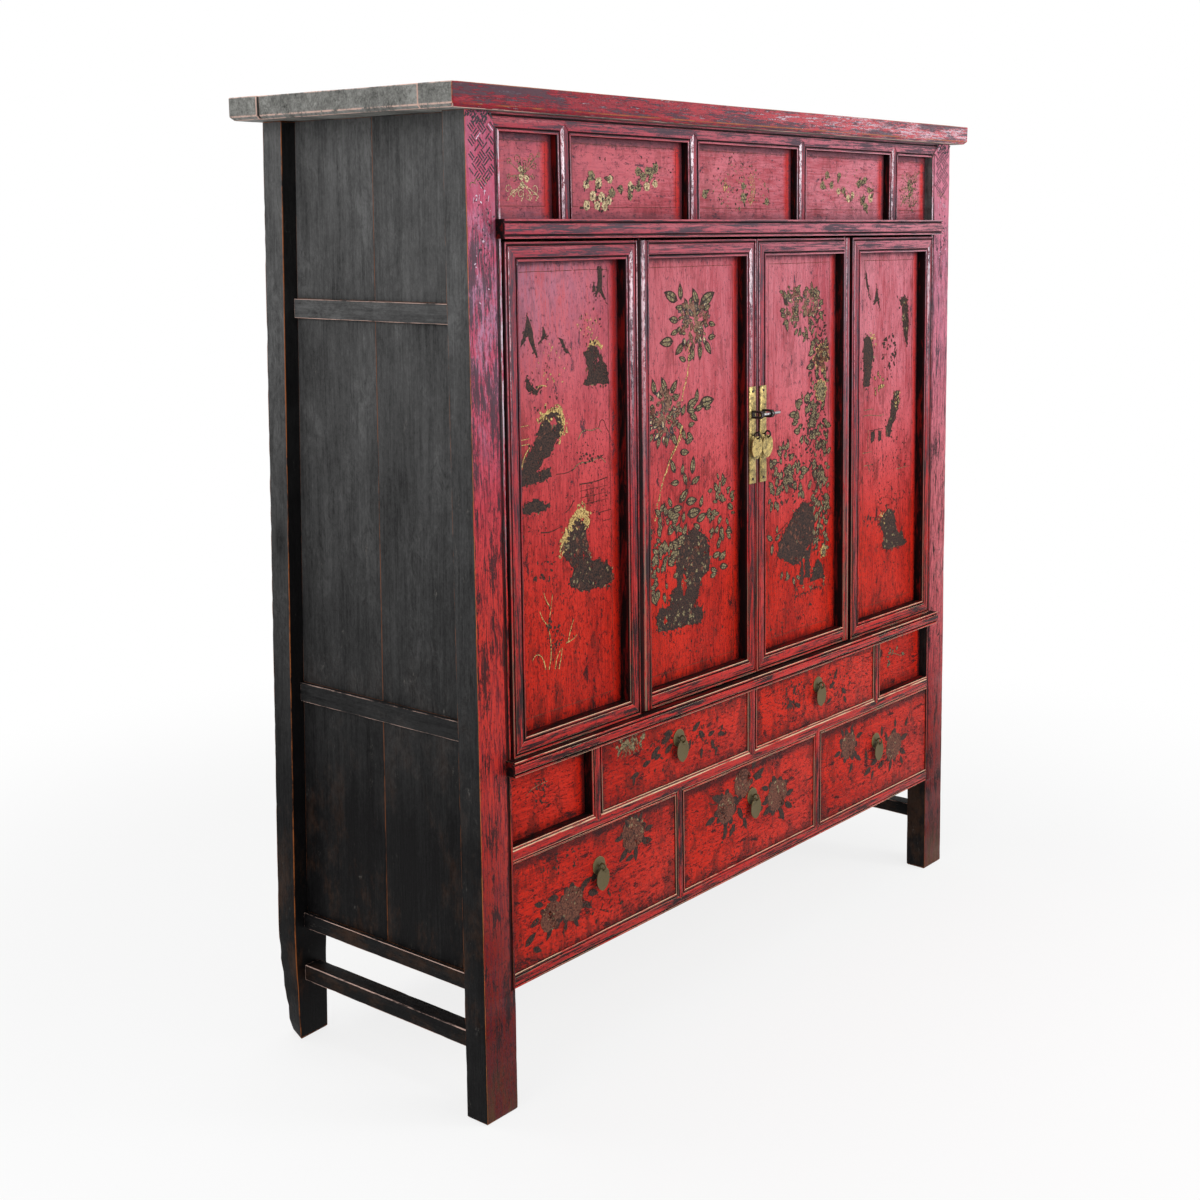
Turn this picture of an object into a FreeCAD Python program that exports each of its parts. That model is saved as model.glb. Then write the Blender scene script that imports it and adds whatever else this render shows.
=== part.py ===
import FreeCAD, Part
import math
import os

# Wedding cabinet: a tall cupboard on four leaning legs, with two pivot doors between two
# lift-out panels, a frieze above and two rows of drawers below. Lengths are in millimetres.
# Origin: centre of the overall box on the floor. +Z is up and the front faces -Y.

V = FreeCAD.Vector

# Overall body. A lean is how far a face moves inwards per unit of height.
foot_width = 1600.0
foot_depth = 543.0
body_height = 1679.0
side_lean_share = 0.0169
front_lean_share = 0.0203
leg_width = 77.0
leg_depth = 48.0
foot_ease = 3.0

# Top board, of three planks
top_end_overhang = 22.0
top_front_overhang = 19.0
top_rear_overhang = 25.0
top_thickness = 38.0
top_arris = 6.0
top_front_plank = 73.0
top_rear_plank = 72.0

# Front rails: the lower ones are placed from the floor up, the upper ones from the top down
base_rail_low = 223.0
base_rail_high = 250.0
mid_rail_low = 447.0
mid_rail_high = 477.0
sill_rail_low = 607.0
sill_rail_high = 633.0
head_rail_drop = 163.5
head_rail_height = 30.5
top_rail_height = 29.5
head_rail_high = body_height - head_rail_drop
head_rail_low = head_rail_high - head_rail_height
top_rail_low = body_height - top_rail_height

# How the front members stand in front of or behind the face of the legs
rail_proud = 20.0
rail_lap = 12.0
rail_back = 28.0
flush_rail_back = 48.0
top_rail_set_back = 3.0
top_rail_back = 45.0

# Moulding that runs along every front member
bead_width = 4.0
bead_ease = 1.0
groove_width = 1.5
groove_depth = 3.0
shallow_groove_depth = 1.6
belly_rise = 0.8
belly_flats = 5
belly_fullness = 0.5

# Mitred shoulders: each post ends in a point that lies in a notch of a rail, and each end of the
# top rail in a slanting lap on the face of the leg
mitre_depth = 9.0

# Bead and hollow along the inner edge of the front legs
leg_bead = 4.5
leg_hollow = 9.0
leg_hollow_depth = 2.2

# Doors and lift-out panels
door_foot_gap = 3.0
door_head_gap = 5.0
door_low = sill_rail_high + door_foot_gap
door_high = head_rail_low - door_head_gap
door_middle = (door_low + door_high) / 2
door_proud = 5.0
door_thickness = 30.0
frame_width = 31.0
rebate_width = 6.0
board_thickness = 8.0
hinge_line_share = 0.231875
hinge_line_at_floor = foot_width * hinge_line_share
hinge_lean_share = 0.010
door_gap = 2.0
panel_gap = 3.0
panel_rest = 0.2
meeting_offset = 8.0
pivot_radius = 6.0
pivot_length = 12.0
pivot_clearance = 0.06
socket_depth = 16.0
stile_edge_flats = 10

# Frieze of five fixed boards
frieze_width = 34.0
frieze_near_share = 0.11125
frieze_far_share = 0.3340625
frieze_post_near = foot_width * frieze_near_share
frieze_post_far = foot_width * frieze_far_share
frieze_post_set_back = 4.0
frieze_recess = 19.0
frieze_board = 8.0

# Drawer rows
upper_post_share = 0.304375
lower_post_share = 0.1528125
upper_post_x = foot_width * upper_post_share
upper_post_width = 29.0
centre_post_width = 33.0
lower_post_x = foot_width * lower_post_share
lower_post_width = 29.0
post_set_back = 0.5
post_back = 40.0
row_panel_recess = 20.0
row_panel_board = 9.0
drawer_gap = 1.5
drawer_set_back = 2.0
drawer_front_thickness = 20.0
drawer_side_thickness = 12.0
drawer_bottom_thickness = 8.0
drawer_length = 420.0
drawer_lift = 0.3
drawer_side_inset = 2.0
drawer_side_drop = 14.0

# Runners under the drawers, with an upstand that guides their sides
runner_width = 64.0
runner_thickness = 20.0
guide_height = 22.0
guide_clearance = 1.5

# Sides
side_rail_inset = 22.0
side_rail_thickness = 30.0
side_board_inset = 30.0
side_board = 10.0
side_upper_drop = 295.0
side_upper_height = 33.0
side_upper_high = body_height - side_upper_drop
side_upper_low = side_upper_high - side_upper_height
side_middle_low = 663.0
side_middle_high = 698.0
side_bottom_low = 222.0
side_bottom_high = 252.0
stretcher_low = 116.0
stretcher_high = 147.0
stretcher_thickness = 35.0

# Rear
rear_rail_set_back = 4.0
rear_rail_thickness = 34.0
rear_board_set_back = 14.0
rear_board = 10.0
rear_plank_count = 5
rear_top_height = 34.0
rear_top_low = body_height - rear_top_height

# Inside
floor_top = 627.0
floor_thickness = 16.0
shelf_rise = 10.0
shelf_top = door_middle + shelf_rise
shelf_thickness = 18.0
shelf_front_clear = 20.0
bearer_height = 28.0
bearer_thickness = 24.0

# Brass plates and forged staples on the meeting stiles
plate_width = 22.0
plate_edge = 7.0
plate_length = 187.0
plate_rise = 51.5
plate_middle = door_middle + plate_rise
plate_low = plate_middle - plate_length / 2
plate_high = plate_middle + plate_length / 2
plate_thickness = 2.0
nail_radius = 2.6
nail_height = 1.2
nail_end_distance = 9.0
staple_rise = 40.5
staple_z = plate_middle + staple_rise
staple_wire = 4.4
staple_root = 3.0
staple_slot = 6.6
staple_thickness = 7.0
staple_reach = 26.0
pin_radius = 2.6
pin_tip_gap = 1.5
pin_tail = 27.0

# Hanging leaf pulls
eye_radius = 6.0
eye_wire_radius = 1.6
eye_shank_radius = 1.4
eye_stand_off = 10.5
eye_seat = 0.8
rose_radius = 17.0
rose_thickness = 1.6
leaf_length = 44.0
leaf_half_width = 17.2
leaf_widest_share = 0.42
leaf_bend_height_share = 0.667
leaf_bend_width_share = 0.75
leaf_thickness = 1.6
leaf_hole_radius = 2.3
leaf_rest = 0.25
leaf_top_margin = 2.6
leaf_neck = 4.0
door_eye_rise = 0.5
door_eye_z = plate_middle + door_eye_rise
upper_eye_z = 558.0
lower_eye_z = 377.0

# The foremost point is the round end of a lock staple and the rearmost the heel of a rear foot.
front_reach = foot_depth / 2 - front_lean_share * staple_z + door_proud + plate_thickness + staple_reach
rear_reach = foot_depth / 2 - front_lean_share * foot_ease
y_shift = (front_reach - rear_reach) / 2


def front_y(z, proud=0.0):
    return -(foot_depth / 2 - front_lean_share * z) - proud + y_shift


def rear_y(z, inset=0.0):
    return foot_depth / 2 - front_lean_share * z - inset + y_shift


def outer_x(z, inset=0.0):
    return foot_width / 2 - side_lean_share * z - inset


def inner_x(z):
    return outer_x(z, leg_width)


def hinge_x(z):
    return hinge_line_at_floor - hinge_lean_share * z


def solid_between(ring_a, ring_b):
    """Closed solid whose two ends are matching rings of points."""
    faces = [Part.Face(Part.makePolygon(ring + ring[:1])) for ring in (ring_a, ring_b)]
    count = len(ring_a)
    for i in range(count):
        j = (i + 1) % count
        corners = [ring_a[i], ring_a[j], ring_b[j], ring_b[i]]
        faces.append(Part.Face(Part.makePolygon(corners + corners[:1])))
    shell = Part.Shell(faces)
    solid = Part.Solid(shell)
    if solid.Volume < 0:
        solid.reverse()
    return solid


def beam_x(outline, left, right):
    """Member along X. outline holds (y, z); left and right give x at a height."""
    return solid_between([V(left(z), y, z) for y, z in outline], [V(right(z), y, z) for y, z in outline])


def beam_y(outline, front, rear):
    """Member along Y. outline holds (x, z); front and rear give y at a height."""
    return solid_between([V(x, front(z), z) for x, z in outline], [V(x, rear(z), z) for x, z in outline])


def leaning_slab(corners, proud_front, proud_back):
    """Board parallel to the front. corners holds (x, z)."""
    ring_a = [V(x, front_y(z, proud_front), z) for x, z in corners]
    ring_b = [V(x, front_y(z, proud_back), z) for x, z in corners]
    return solid_between(ring_a, ring_b)


def belly_points(start, end, low, rise):
    """Round of a moulding as a few flats from start to end above the level low."""
    middle = (start + end) / 2
    half = (end - start) / 2
    points = []
    for i in range(belly_flats + 1):
        angle = math.pi * i / belly_flats
        points.append((middle - half * math.cos(angle), low + rise * math.sin(angle) ** belly_fullness))
    return points


def moulding(width, face, depth=groove_depth):
    """Section line of a front member from one edge to the other: bead, groove, belly, groove, bead."""
    left = [(0.0, face - bead_ease), (bead_ease, face), (bead_width - bead_ease, face),
            (bead_width, face - depth)]
    start = bead_width + groove_width
    belly = belly_points(start, width - start, face - depth, depth + belly_rise)
    right = [(width - t, w) for t, w in reversed(left)]
    return left + belly + right


def front_rail(low, high, face, back, left, right, depth=groove_depth):
    """Horizontal front member with the moulding on its face."""
    line = [(front_y(low + t, w), low + t) for t, w in moulding(high - low, face, depth)]
    outline = line + [(front_y(high, -back), high), (front_y(low, -back), low)]
    return beam_x(outline, left, right)


def front_post(centre, width, low, high, face, back, points=(-1, 1)):
    """Upright front member with the moulding on its face, plumb across and leaning with the front.
    points says which ends have a mitred shoulder: -1 the lower end, 1 the upper."""
    line = [(centre - width / 2 + t, w) for t, w in moulding(width, face)]
    section = line + [(centre + width / 2, -back), (centre - width / 2, -back)]

    def length(z0, z1):
        return solid_between([V(x, front_y(z0, w), z0) for x, w in section],
                             [V(x, front_y(z1, w), z1) for x, w in section])

    post = length(low, high)
    for sense in points:
        edge = high if sense > 0 else low
        run_out = length(edge, edge + sense * width / 2)
        post = post.fuse(run_out.common(mitre_point(centre, width, edge, sense, face))).removeSplitter()
    return post


def mitre_point(centre, width, edge, sense, face):
    """Triangular prism from the edge of a rail to its middle: the room for a post's mitred shoulder."""
    corners = [(centre - width / 2, edge), (centre + width / 2, edge), (centre, edge + sense * width / 2)]
    return leaning_slab(corners, rail_proud, face - mitre_depth)


def notched(rail, posts, edge, sense, face):
    """Rail with a notch for each post of a row. posts holds (centre, width)."""
    for centre, width in posts:
        rail = rail.cut(mitre_point(centre, width, edge, sense, face))
    return rail


def leg(side, rear):
    """Leaning leg of one section all the way up, with the arris of its sole eased."""
    def corners(z, ease=0.0):
        x0, x1 = side * outer_x(z, ease), side * outer_x(z, leg_width - ease)
        if rear:
            y0, y1 = rear_y(z, ease), rear_y(z, leg_depth - ease)
        else:
            y0, y1 = front_y(z, -ease), front_y(z, ease - leg_depth)
        return [V(x0, y0, z), V(x1, y0, z), V(x1, y1, z), V(x0, y1, z)]

    sole = solid_between(corners(0.0, foot_ease), corners(foot_ease))
    whole = solid_between(corners(foot_ease), corners(body_height)).fuse(sole)
    if rear:
        return whole
    return whole.cut([leg_hollow_cutter(side), top_rail_lap(side)])


def leg_hollow_cutter(side):
    """Shallow hollow beside the bead on the inner edge of a front leg, from the base rail up."""
    start = leg_width - leg_bead
    middle, end = start - leg_hollow / 2, start - leg_hollow
    section = [(start, rail_proud), (start, -leg_hollow_depth), (middle, -leg_hollow_depth), (end, 0.0),
               (end, rail_proud)]

    def ring(z):
        return [V(side * outer_x(z, t), front_y(z, w), z) for t, w in section]

    return solid_between(ring(base_rail_low), ring(body_height))


def top_rail_lap(side):
    """Slanting lap of the top rail on the face of a front leg."""
    corners = [(side * inner_x(top_rail_low), top_rail_low), (side * inner_x(body_height), body_height),
               (side * (inner_x(body_height) + top_rail_height), body_height)]
    return leaning_slab(corners, rail_proud, -top_rail_set_back - mitre_depth)


def top_board():
    """Front, middle and rear plank, eased along the lower arris of the front, the rear and the ends."""
    low, high = body_height, body_height + top_thickness
    y_front = front_y(low, top_front_overhang)
    y_rear = rear_y(low, -top_rear_overhang)
    front_seam = y_front + top_front_plank
    rear_seam = y_rear - top_rear_plank
    half = foot_width / 2 + top_end_overhang

    def ring(z, ease, y0, y1, ease_front, ease_rear):
        return [V(-half + ease, y0 + ease * ease_front, z), V(half - ease, y0 + ease * ease_front, z),
                V(half - ease, y1 - ease * ease_rear, z), V(-half + ease, y1 - ease * ease_rear, z)]

    planks = []
    for y0, y1, ease_front, ease_rear in ((y_front, front_seam, 1, 0), (front_seam, rear_seam, 0, 0),
                                          (rear_seam, y_rear, 0, 1)):
        middle = low + top_arris
        upper = solid_between(ring(middle, 0.0, y0, y1, 0, 0), ring(high, 0.0, y0, y1, 0, 0))
        lower = solid_between(ring(low, top_arris, y0, y1, ease_front, ease_rear),
                              ring(middle, 0.0, y0, y1, 0, 0))
        planks.append(upper.fuse(lower).removeSplitter())
    return planks


def lapped_rail(low, high, sockets_up):
    """Head or sill rail: stands proud of the legs, laps over their edges, and holds the door pivots."""
    lip = front_rail(low, high, rail_proud, 0.0, lambda z: -inner_x(z) - rail_lap,
                     lambda z: inner_x(z) + rail_lap)
    core_line = [(front_y(low), low), (front_y(high), high), (front_y(high, -rail_back), high),
                 (front_y(low, -rail_back), low)]
    rail = lip.fuse(beam_x(core_line, lambda z: -inner_x(z), inner_x)).removeSplitter()
    for side in (-1, 1):
        mouth = high if sockets_up else low
        end = mouth - socket_depth if sockets_up else mouth + socket_depth
        start = mouth + door_gap if sockets_up else mouth - door_gap
        rail = rail.cut(pivot_cylinder(side, start, end, pivot_radius + pivot_clearance))
    return rail


def axis_point(side, z):
    """Point of a door's pivot axis at a height."""
    x = side * (hinge_x(z) - door_gap / 2 - door_thickness / 2)
    return V(x, front_y(z, door_proud - door_thickness / 2), z)


def pivot_cylinder(side, z0, z1, radius):
    a, b = axis_point(side, z0), axis_point(side, z1)
    return Part.makeCylinder(radius, (b - a).Length, a, b - a)


def frame_section():
    """Section of a door or panel frame from its outer edge inwards, with the rebate for the board."""
    back = door_proud - door_thickness
    shelf = back + board_thickness
    inner = frame_width - rebate_width
    line = moulding(frame_width, door_proud)
    return line + [(frame_width, shelf), (inner, shelf), (inner, back), (0.0, back)]


def frame_member(kind, left, right, foot, mitre_left=True, mitre_right=True):
    """One member of a frame in the leaning front, mitred unless it meets a full-height stile."""
    section = frame_section()
    if kind in ("left", "right"):
        edge, sign = (left, 1) if kind == "left" else (right, -1)
        low = [(t, w, foot + t) for t, w in section]
        high = [(t, w, door_high - t) for t, w in section]
        return solid_between([V(edge(z) + sign * t, front_y(z, w), z) for t, w, z in low],
                             [V(edge(z) + sign * t, front_y(z, w), z) for t, w, z in high])
    heights = [(t, w, foot + t if kind == "bottom" else door_high - t) for t, w in section]

    def end(edge, sign, mitred):
        return [V(edge(z) + sign * (t if mitred else frame_width), front_y(z, w), z) for t, w, z in heights]

    return solid_between(end(left, 1, mitre_left), end(right, -1, mitre_right))


def frame_board(left, right, foot):
    """Board in the rear rebate of a frame, flush with its back."""
    inner = frame_width - rebate_width
    back = door_proud - door_thickness
    low, high = foot + inner, door_high - inner
    corners = [(left(low) + inner, low), (right(low) - inner, low), (right(high) - inner, high),
               (left(high) + inner, high)]
    return leaning_slab(corners, back + board_thickness, back)


def hinge_stile(side):
    """Full-height stile with a half-round outer edge about the pivot axis, and a pin at each end."""
    radius = door_thickness / 2
    inner = frame_width - rebate_width
    back = door_proud - door_thickness
    front_line = [(t, w) for t, w in moulding(frame_width, door_proud, shallow_groove_depth) if t > radius]
    angles = [math.pi * i / stile_edge_flats for i in range(stile_edge_flats + 1)]
    arc = [(radius - radius * math.sin(angle), door_proud - radius + radius * math.cos(angle))
           for angle in angles]
    section = arc + [(frame_width, back)] + list(reversed(front_line))

    def ring(z):
        return [V(side * (hinge_x(z) - door_gap / 2 - t), front_y(z, w), z) for t, w in section]

    stile = solid_between(ring(door_low), ring(door_high))

    def notch(z):
        return [V(side * (hinge_x(z) - door_gap / 2 - t), front_y(z, w), z)
                for t, w in ((inner, back), (frame_width, back), (frame_width, back + board_thickness),
                             (inner, back + board_thickness))]

    stile = stile.cut(solid_between(notch(door_low + inner), notch(door_high - inner)))
    bottom_pin = pivot_cylinder(side, sill_rail_high - pivot_length, door_low + radius, pivot_radius)
    top_pin = pivot_cylinder(side, door_high - radius, head_rail_low + pivot_length, pivot_radius)
    return stile.fuse([bottom_pin, top_pin])


def door_parts(side):
    """Frame members and board of one door; the meeting stile is mitred, the hinge stile is not."""
    def hinge_edge(z):
        return side * (hinge_x(z) - door_gap / 2)

    def meeting_edge(z):
        return meeting_offset + side * door_gap / 2

    left, right = (hinge_edge, meeting_edge) if side < 0 else (meeting_edge, hinge_edge)
    meeting_kind = "right" if side < 0 else "left"
    mitres = (side > 0, side < 0)
    members = [hinge_stile(side), frame_member(meeting_kind, left, right, door_low),
               frame_member("bottom", left, right, door_low, *mitres),
               frame_member("top", left, right, door_low, *mitres)]
    return members, frame_board(left, right, door_low)


def outer_panel_parts(side):
    """Frame, mitred at all four corners, and board of a lift-out panel that stands on the sill rail."""
    foot = sill_rail_high + panel_rest

    def outer_edge(z):
        return side * (inner_x(z) - panel_gap)

    def inner_edge(z):
        return side * (hinge_x(z) + door_gap / 2)

    left, right = (outer_edge, inner_edge) if side < 0 else (inner_edge, outer_edge)
    members = [frame_member(kind, left, right, foot) for kind in ("left", "right", "bottom", "top")]
    return members, frame_board(left, right, foot)


def side_rail(side, low, high, thickness):
    outline = [(side * outer_x(z, side_rail_inset + d), z)
               for d, z in ((0.0, low), (thickness, low), (thickness, high), (0.0, high))]
    return beam_y(outline, lambda z: front_y(z, -leg_depth), lambda z: rear_y(z, leg_depth))


def side_boards(side, low, high):
    """Two planks side by side with their seam at mid depth."""
    outline = [(side * outer_x(z, side_board_inset + d), z)
               for d, z in ((0.0, low), (side_board, low), (side_board, high), (0.0, high))]
    front = beam_y(outline, lambda z: front_y(z, -leg_depth), lambda z: y_shift)
    rear = beam_y(outline, lambda z: y_shift, lambda z: rear_y(z, leg_depth))
    return [front, rear]


def rear_rail(low, high):
    depth = rear_rail_thickness
    outline = [(rear_y(z, rear_rail_set_back + d), z)
               for d, z in ((0.0, low), (depth, low), (depth, high), (0.0, high))]
    return beam_x(outline, lambda z: -inner_x(z), inner_x)


def rear_planks(low, high):
    outline = [(rear_y(z, rear_board_set_back + d), z)
               for d, z in ((0.0, low), (rear_board, low), (rear_board, high), (0.0, high))]
    planks = []
    for i in range(rear_plank_count):
        start, end = i / rear_plank_count, (i + 1) / rear_plank_count
        planks.append(beam_x(outline, lambda z, s=start: across_rear(z, s),
                             lambda z, s=end: across_rear(z, s)))
    return planks


def across_rear(z, share):
    """Place between the rear legs: -inner_x where share is 0 and inner_x where it is 1."""
    return inner_x(z) * (share + share - 1)


def inner_board(low, high, front_gap):
    """Shelf board between the side boards, notched around the four legs."""
    far_x = outer_x(high, side_board_inset + side_board)
    y0, y1 = front_y(high, -front_gap), rear_y(high, rear_board_set_back + rear_board)
    front_notch = front_y(high, -leg_depth)
    rear_notch = rear_y(high, leg_depth)
    clear_x = inner_x(high)
    points = [(-clear_x, y0), (clear_x, y0)]
    if front_gap < leg_depth:
        points += [(clear_x, front_notch), (far_x, front_notch)]
    else:
        points = [(-far_x, y0), (far_x, y0)]
    points += [(far_x, rear_notch), (clear_x, rear_notch), (clear_x, y1), (-clear_x, y1),
               (-clear_x, rear_notch), (-far_x, rear_notch)]
    if front_gap < leg_depth:
        points += [(-far_x, front_notch), (-clear_x, front_notch)]
    return solid_between([V(x, y, low) for x, y in points], [V(x, y, high) for x, y in points])


def bearer(side, high):
    """Batten between a front and a rear leg that carries the end of a board."""
    low = high - bearer_height
    outline = [(side * outer_x(z, side_board_inset + side_board + d), z)
               for d, z in ((0.0, low), (bearer_thickness, low), (bearer_thickness, high), (0.0, high))]
    return beam_y(outline, lambda z: front_y(z, -leg_depth), lambda z: rear_y(z, leg_depth))


def behind_runner(z):
    """Face of the rear rail that a drawer runner ends at."""
    return rear_y(z, rear_rail_set_back + rear_rail_thickness)


def runner(centre, high, guide_width, half_left=1, half_right=1):
    """Drawer runner with an upstand between the drawers. A half is 0 where there is no drawer beside it."""
    low = high - runner_thickness
    reach = runner_width / 2
    guide = guide_width / 2
    up = high + guide_height
    outline = [(centre - reach * half_left - guide * (1 - half_left), low),
               (centre + reach * half_right + guide * (1 - half_right), low)]
    if half_right:
        outline += [(centre + reach, high), (centre + guide, high)]
    outline += [(centre + guide, up), (centre - guide, up)]
    if half_left:
        outline += [(centre - guide, high), (centre - reach, high)]
    return beam_y(outline, lambda z: front_y(z, -flush_rail_back), behind_runner)


def drawer_span(row, index):
    """Left and right limits of a drawer's opening as functions of height."""
    if row == "upper":
        near = centre_post_width / 2
        far = upper_post_x - upper_post_width / 2
        return ((lambda z: -far), (lambda z: -near)) if index == 0 else ((lambda z: near), (lambda z: far))
    far = lower_post_x + lower_post_width / 2
    near = lower_post_x - lower_post_width / 2
    if index == 0:
        return (lambda z: -inner_x(z)), (lambda z: -far)
    if index == 1:
        return (lambda z: -near), (lambda z: near)
    return (lambda z: far), inner_x


def drawer_parts(row, index):
    """Front board, and the box behind it: two sides, a back and a bottom."""
    low, high = (mid_rail_high, sill_rail_low) if row == "upper" else (base_rail_high, mid_rail_low)
    left, right = drawer_span(row, index)
    z0, z1 = low + drawer_lift, high - drawer_gap
    back_face = -(drawer_set_back + drawer_front_thickness)
    corners = [(left(z0) + drawer_gap, z0), (right(z0) - drawer_gap, z0), (right(z1) - drawer_gap, z1),
               (left(z1) + drawer_gap, z1)]
    front = leaning_slab(corners, -drawer_set_back, back_face)
    top = high - drawer_side_drop
    x0 = max(left(z0), left(z1)) + drawer_gap + drawer_side_inset
    x1 = min(right(z0), right(z1)) - drawer_gap - drawer_side_inset
    y_end = front_y(low, back_face) + drawer_length

    def board(xa, xb, za, zb, ya=None):
        start = (lambda z: front_y(z, back_face)) if ya is None else (lambda z: ya)
        return beam_y([(xa, za), (xb, za), (xb, zb), (xa, zb)], start, lambda z: y_end)

    floor = z0 + drawer_bottom_thickness
    bottom = board(x0, x1, z0, floor)
    sides = [board(x0, x0 + drawer_side_thickness, floor, top),
             board(x1 - drawer_side_thickness, x1, floor, top)]
    back = board(x0 + drawer_side_thickness, x1 - drawer_side_thickness, floor, top,
                 y_end - drawer_side_thickness)
    return front, sides + [back, bottom]


def tilted(shape, z, proud):
    """Turn a shape modelled upright at the origin to lie on the leaning front at a height."""
    placed = shape.copy()
    placed.rotate(V(0, 0, 0), V(1, 0, 0), -math.degrees(math.atan(front_lean_share)))
    placed.translate(V(0, front_y(z, proud), z))
    return placed


def eye_bolt(x, z, proud, seat):
    """Ring in an upright plane across the front, on a short shank that starts at a seat in its plate."""
    centre = V(x, front_y(z, proud + eye_stand_off), z)
    ring = Part.makeTorus(eye_radius, eye_wire_radius, centre, V(1, 0, 0))
    start = V(x, front_y(z, proud + seat), z)
    length = eye_stand_off - eye_radius - seat
    shank = Part.makeCylinder(eye_shank_radius, length, start, V(0, -1, 0))
    return ring.fuse(shank)


def leaf(x, z, proud):
    """Leaf-shaped pull that hangs in an upright plane through the centre of its eye."""
    hole_drop = eye_radius - eye_wire_radius - leaf_rest + leaf_hole_radius
    top = leaf_hole_radius + leaf_top_margin - hole_drop
    bottom = top - leaf_length
    widest = top - leaf_length * leaf_widest_share
    half = leaf_half_width
    upper = widest + (top - widest) * leaf_bend_height_share
    lower = widest - (widest - bottom) * leaf_bend_height_share
    bend = half * leaf_bend_width_share
    right = [Part.Arc(V(leaf_neck, 0, top), V(bend, 0, upper), V(half, 0, widest)).toShape(),
             Part.Arc(V(half, 0, widest), V(bend, 0, lower), V(0, 0, bottom)).toShape()]
    left = [Part.Arc(V(0, 0, bottom), V(-bend, 0, lower), V(-half, 0, widest)).toShape(),
            Part.Arc(V(-half, 0, widest), V(-bend, 0, upper), V(-leaf_neck, 0, top)).toShape()]
    neck = Part.makeLine(V(-leaf_neck, 0, top), V(leaf_neck, 0, top))
    plate = Part.Face(Part.Wire(right + left + [neck])).extrude(V(0, leaf_thickness, 0))
    drill_start = V(0, -leaf_thickness / 2, -hole_drop)
    plate = plate.cut(Part.makeCylinder(leaf_hole_radius, leaf_thickness + leaf_thickness, drill_start,
                                        V(0, 1, 0)))
    plate.translate(V(x, front_y(z, proud + eye_stand_off) - leaf_thickness / 2, z))
    return plate


def rose(x, z, proud):
    disc = Part.makeCylinder(rose_radius, rose_thickness, V(0, 0, 0), V(0, -1, 0))
    placed = tilted(disc, z, proud)
    placed.translate(V(x, 0, 0))
    return placed


def pull(x, z):
    """Rose with its eye, and the hanging leaf, on a drawer front."""
    proud = -drawer_set_back
    bolt = eye_bolt(x, z, proud, eye_seat)
    plate = rose(x, z, proud).cut(bolt)
    return [plate, bolt], leaf(x, z, proud)


def stile_crest():
    return door_proud + belly_rise


def lock_plate(side):
    """Brass strip along a meeting stile, with a nail near each end."""
    near = plate_edge
    far = plate_edge + plate_width
    crest = stile_crest()
    corners = [(meeting_offset + side * near, plate_low), (meeting_offset + side * far, plate_low),
               (meeting_offset + side * far, plate_high), (meeting_offset + side * near, plate_high)]
    plate = leaning_slab(corners, crest + plate_thickness, crest)
    nails = []
    for z in (plate_low + nail_end_distance, plate_high - nail_end_distance):
        head = tilted(Part.makeCylinder(nail_radius, nail_height, V(0, 0, 0), V(0, -1, 0)), z,
                      crest + plate_thickness)
        head.translate(V(plate_centre(side), 0, 0))
        nails.append(head)
    return [plate] + nails


def plate_centre(side):
    return meeting_offset + side * (plate_edge + plate_width / 2)


def staple(side):
    """Long forged loop that stands out of its plate, with a slot for the locking pin."""
    x0 = plate_centre(side) - staple_thickness / 2
    base = stile_crest() + plate_thickness
    half = staple_slot / 2 + staple_wire
    end = staple_reach - half - belly_rise

    def stadium(radius, start):
        y0 = front_y(staple_z, base + start)
        y1 = front_y(staple_z, base + end)
        arc = Part.Arc(V(x0, y1, staple_z + radius), V(x0, y1 - radius, staple_z),
                       V(x0, y1, staple_z - radius))
        lines = [Part.makeLine(V(x0, y0, staple_z + radius), V(x0, y1, staple_z + radius)), arc.toShape(),
                 Part.makeLine(V(x0, y1, staple_z - radius), V(x0, y0, staple_z - radius)),
                 Part.makeLine(V(x0, y0, staple_z - radius), V(x0, y0, staple_z + radius))]
        return Part.Face(Part.Wire(lines)).extrude(V(staple_thickness, 0, 0))

    body = stadium(half, -plate_thickness / 2).cut(stadium(staple_slot / 2, staple_root))
    return body, V(x0, front_y(staple_z, base + end), staple_z)


def locking_pin():
    """Plain rod in the right staple, its tip just short of the left staple."""
    tip = plate_centre(-1) + staple_thickness / 2 + pin_tip_gap
    tail = plate_centre(1) + staple_thickness / 2 + pin_tail
    y = staple(1)[1].y
    return Part.makeCylinder(pin_radius, tail - tip, V(tip, y, staple_z), V(1, 0, 0))


def lock_set(side):
    """Plate with its nails, staple and pull eye, and the hanging leaf, on one meeting stile."""
    x = plate_centre(side)
    base = stile_crest() + plate_thickness
    loop = staple(side)[0]
    bolt = eye_bolt(x, door_eye_z, base, -eye_seat)
    plate = lock_plate(side)
    plate[0] = plate[0].cut([loop, bolt])
    return plate, [loop, bolt], leaf(x, door_eye_z, base)


def top_rail():
    """Rail under the top, lapped over the legs at its ends and notched for the frieze posts."""
    def between(reach):
        return front_rail(top_rail_low, body_height, -top_rail_set_back, top_rail_back,
                          lambda z: -inner_x(z) - reach, lambda z: inner_x(z) + reach)

    long_rail = between(top_rail_height)
    laps = [long_rail.common(top_rail_lap(side)) for side in (-1, 1)]
    rail = between(0.0).fuse(laps).removeSplitter()
    return notched(rail, frieze_row(), top_rail_low, 1, -frieze_post_set_back)


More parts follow.
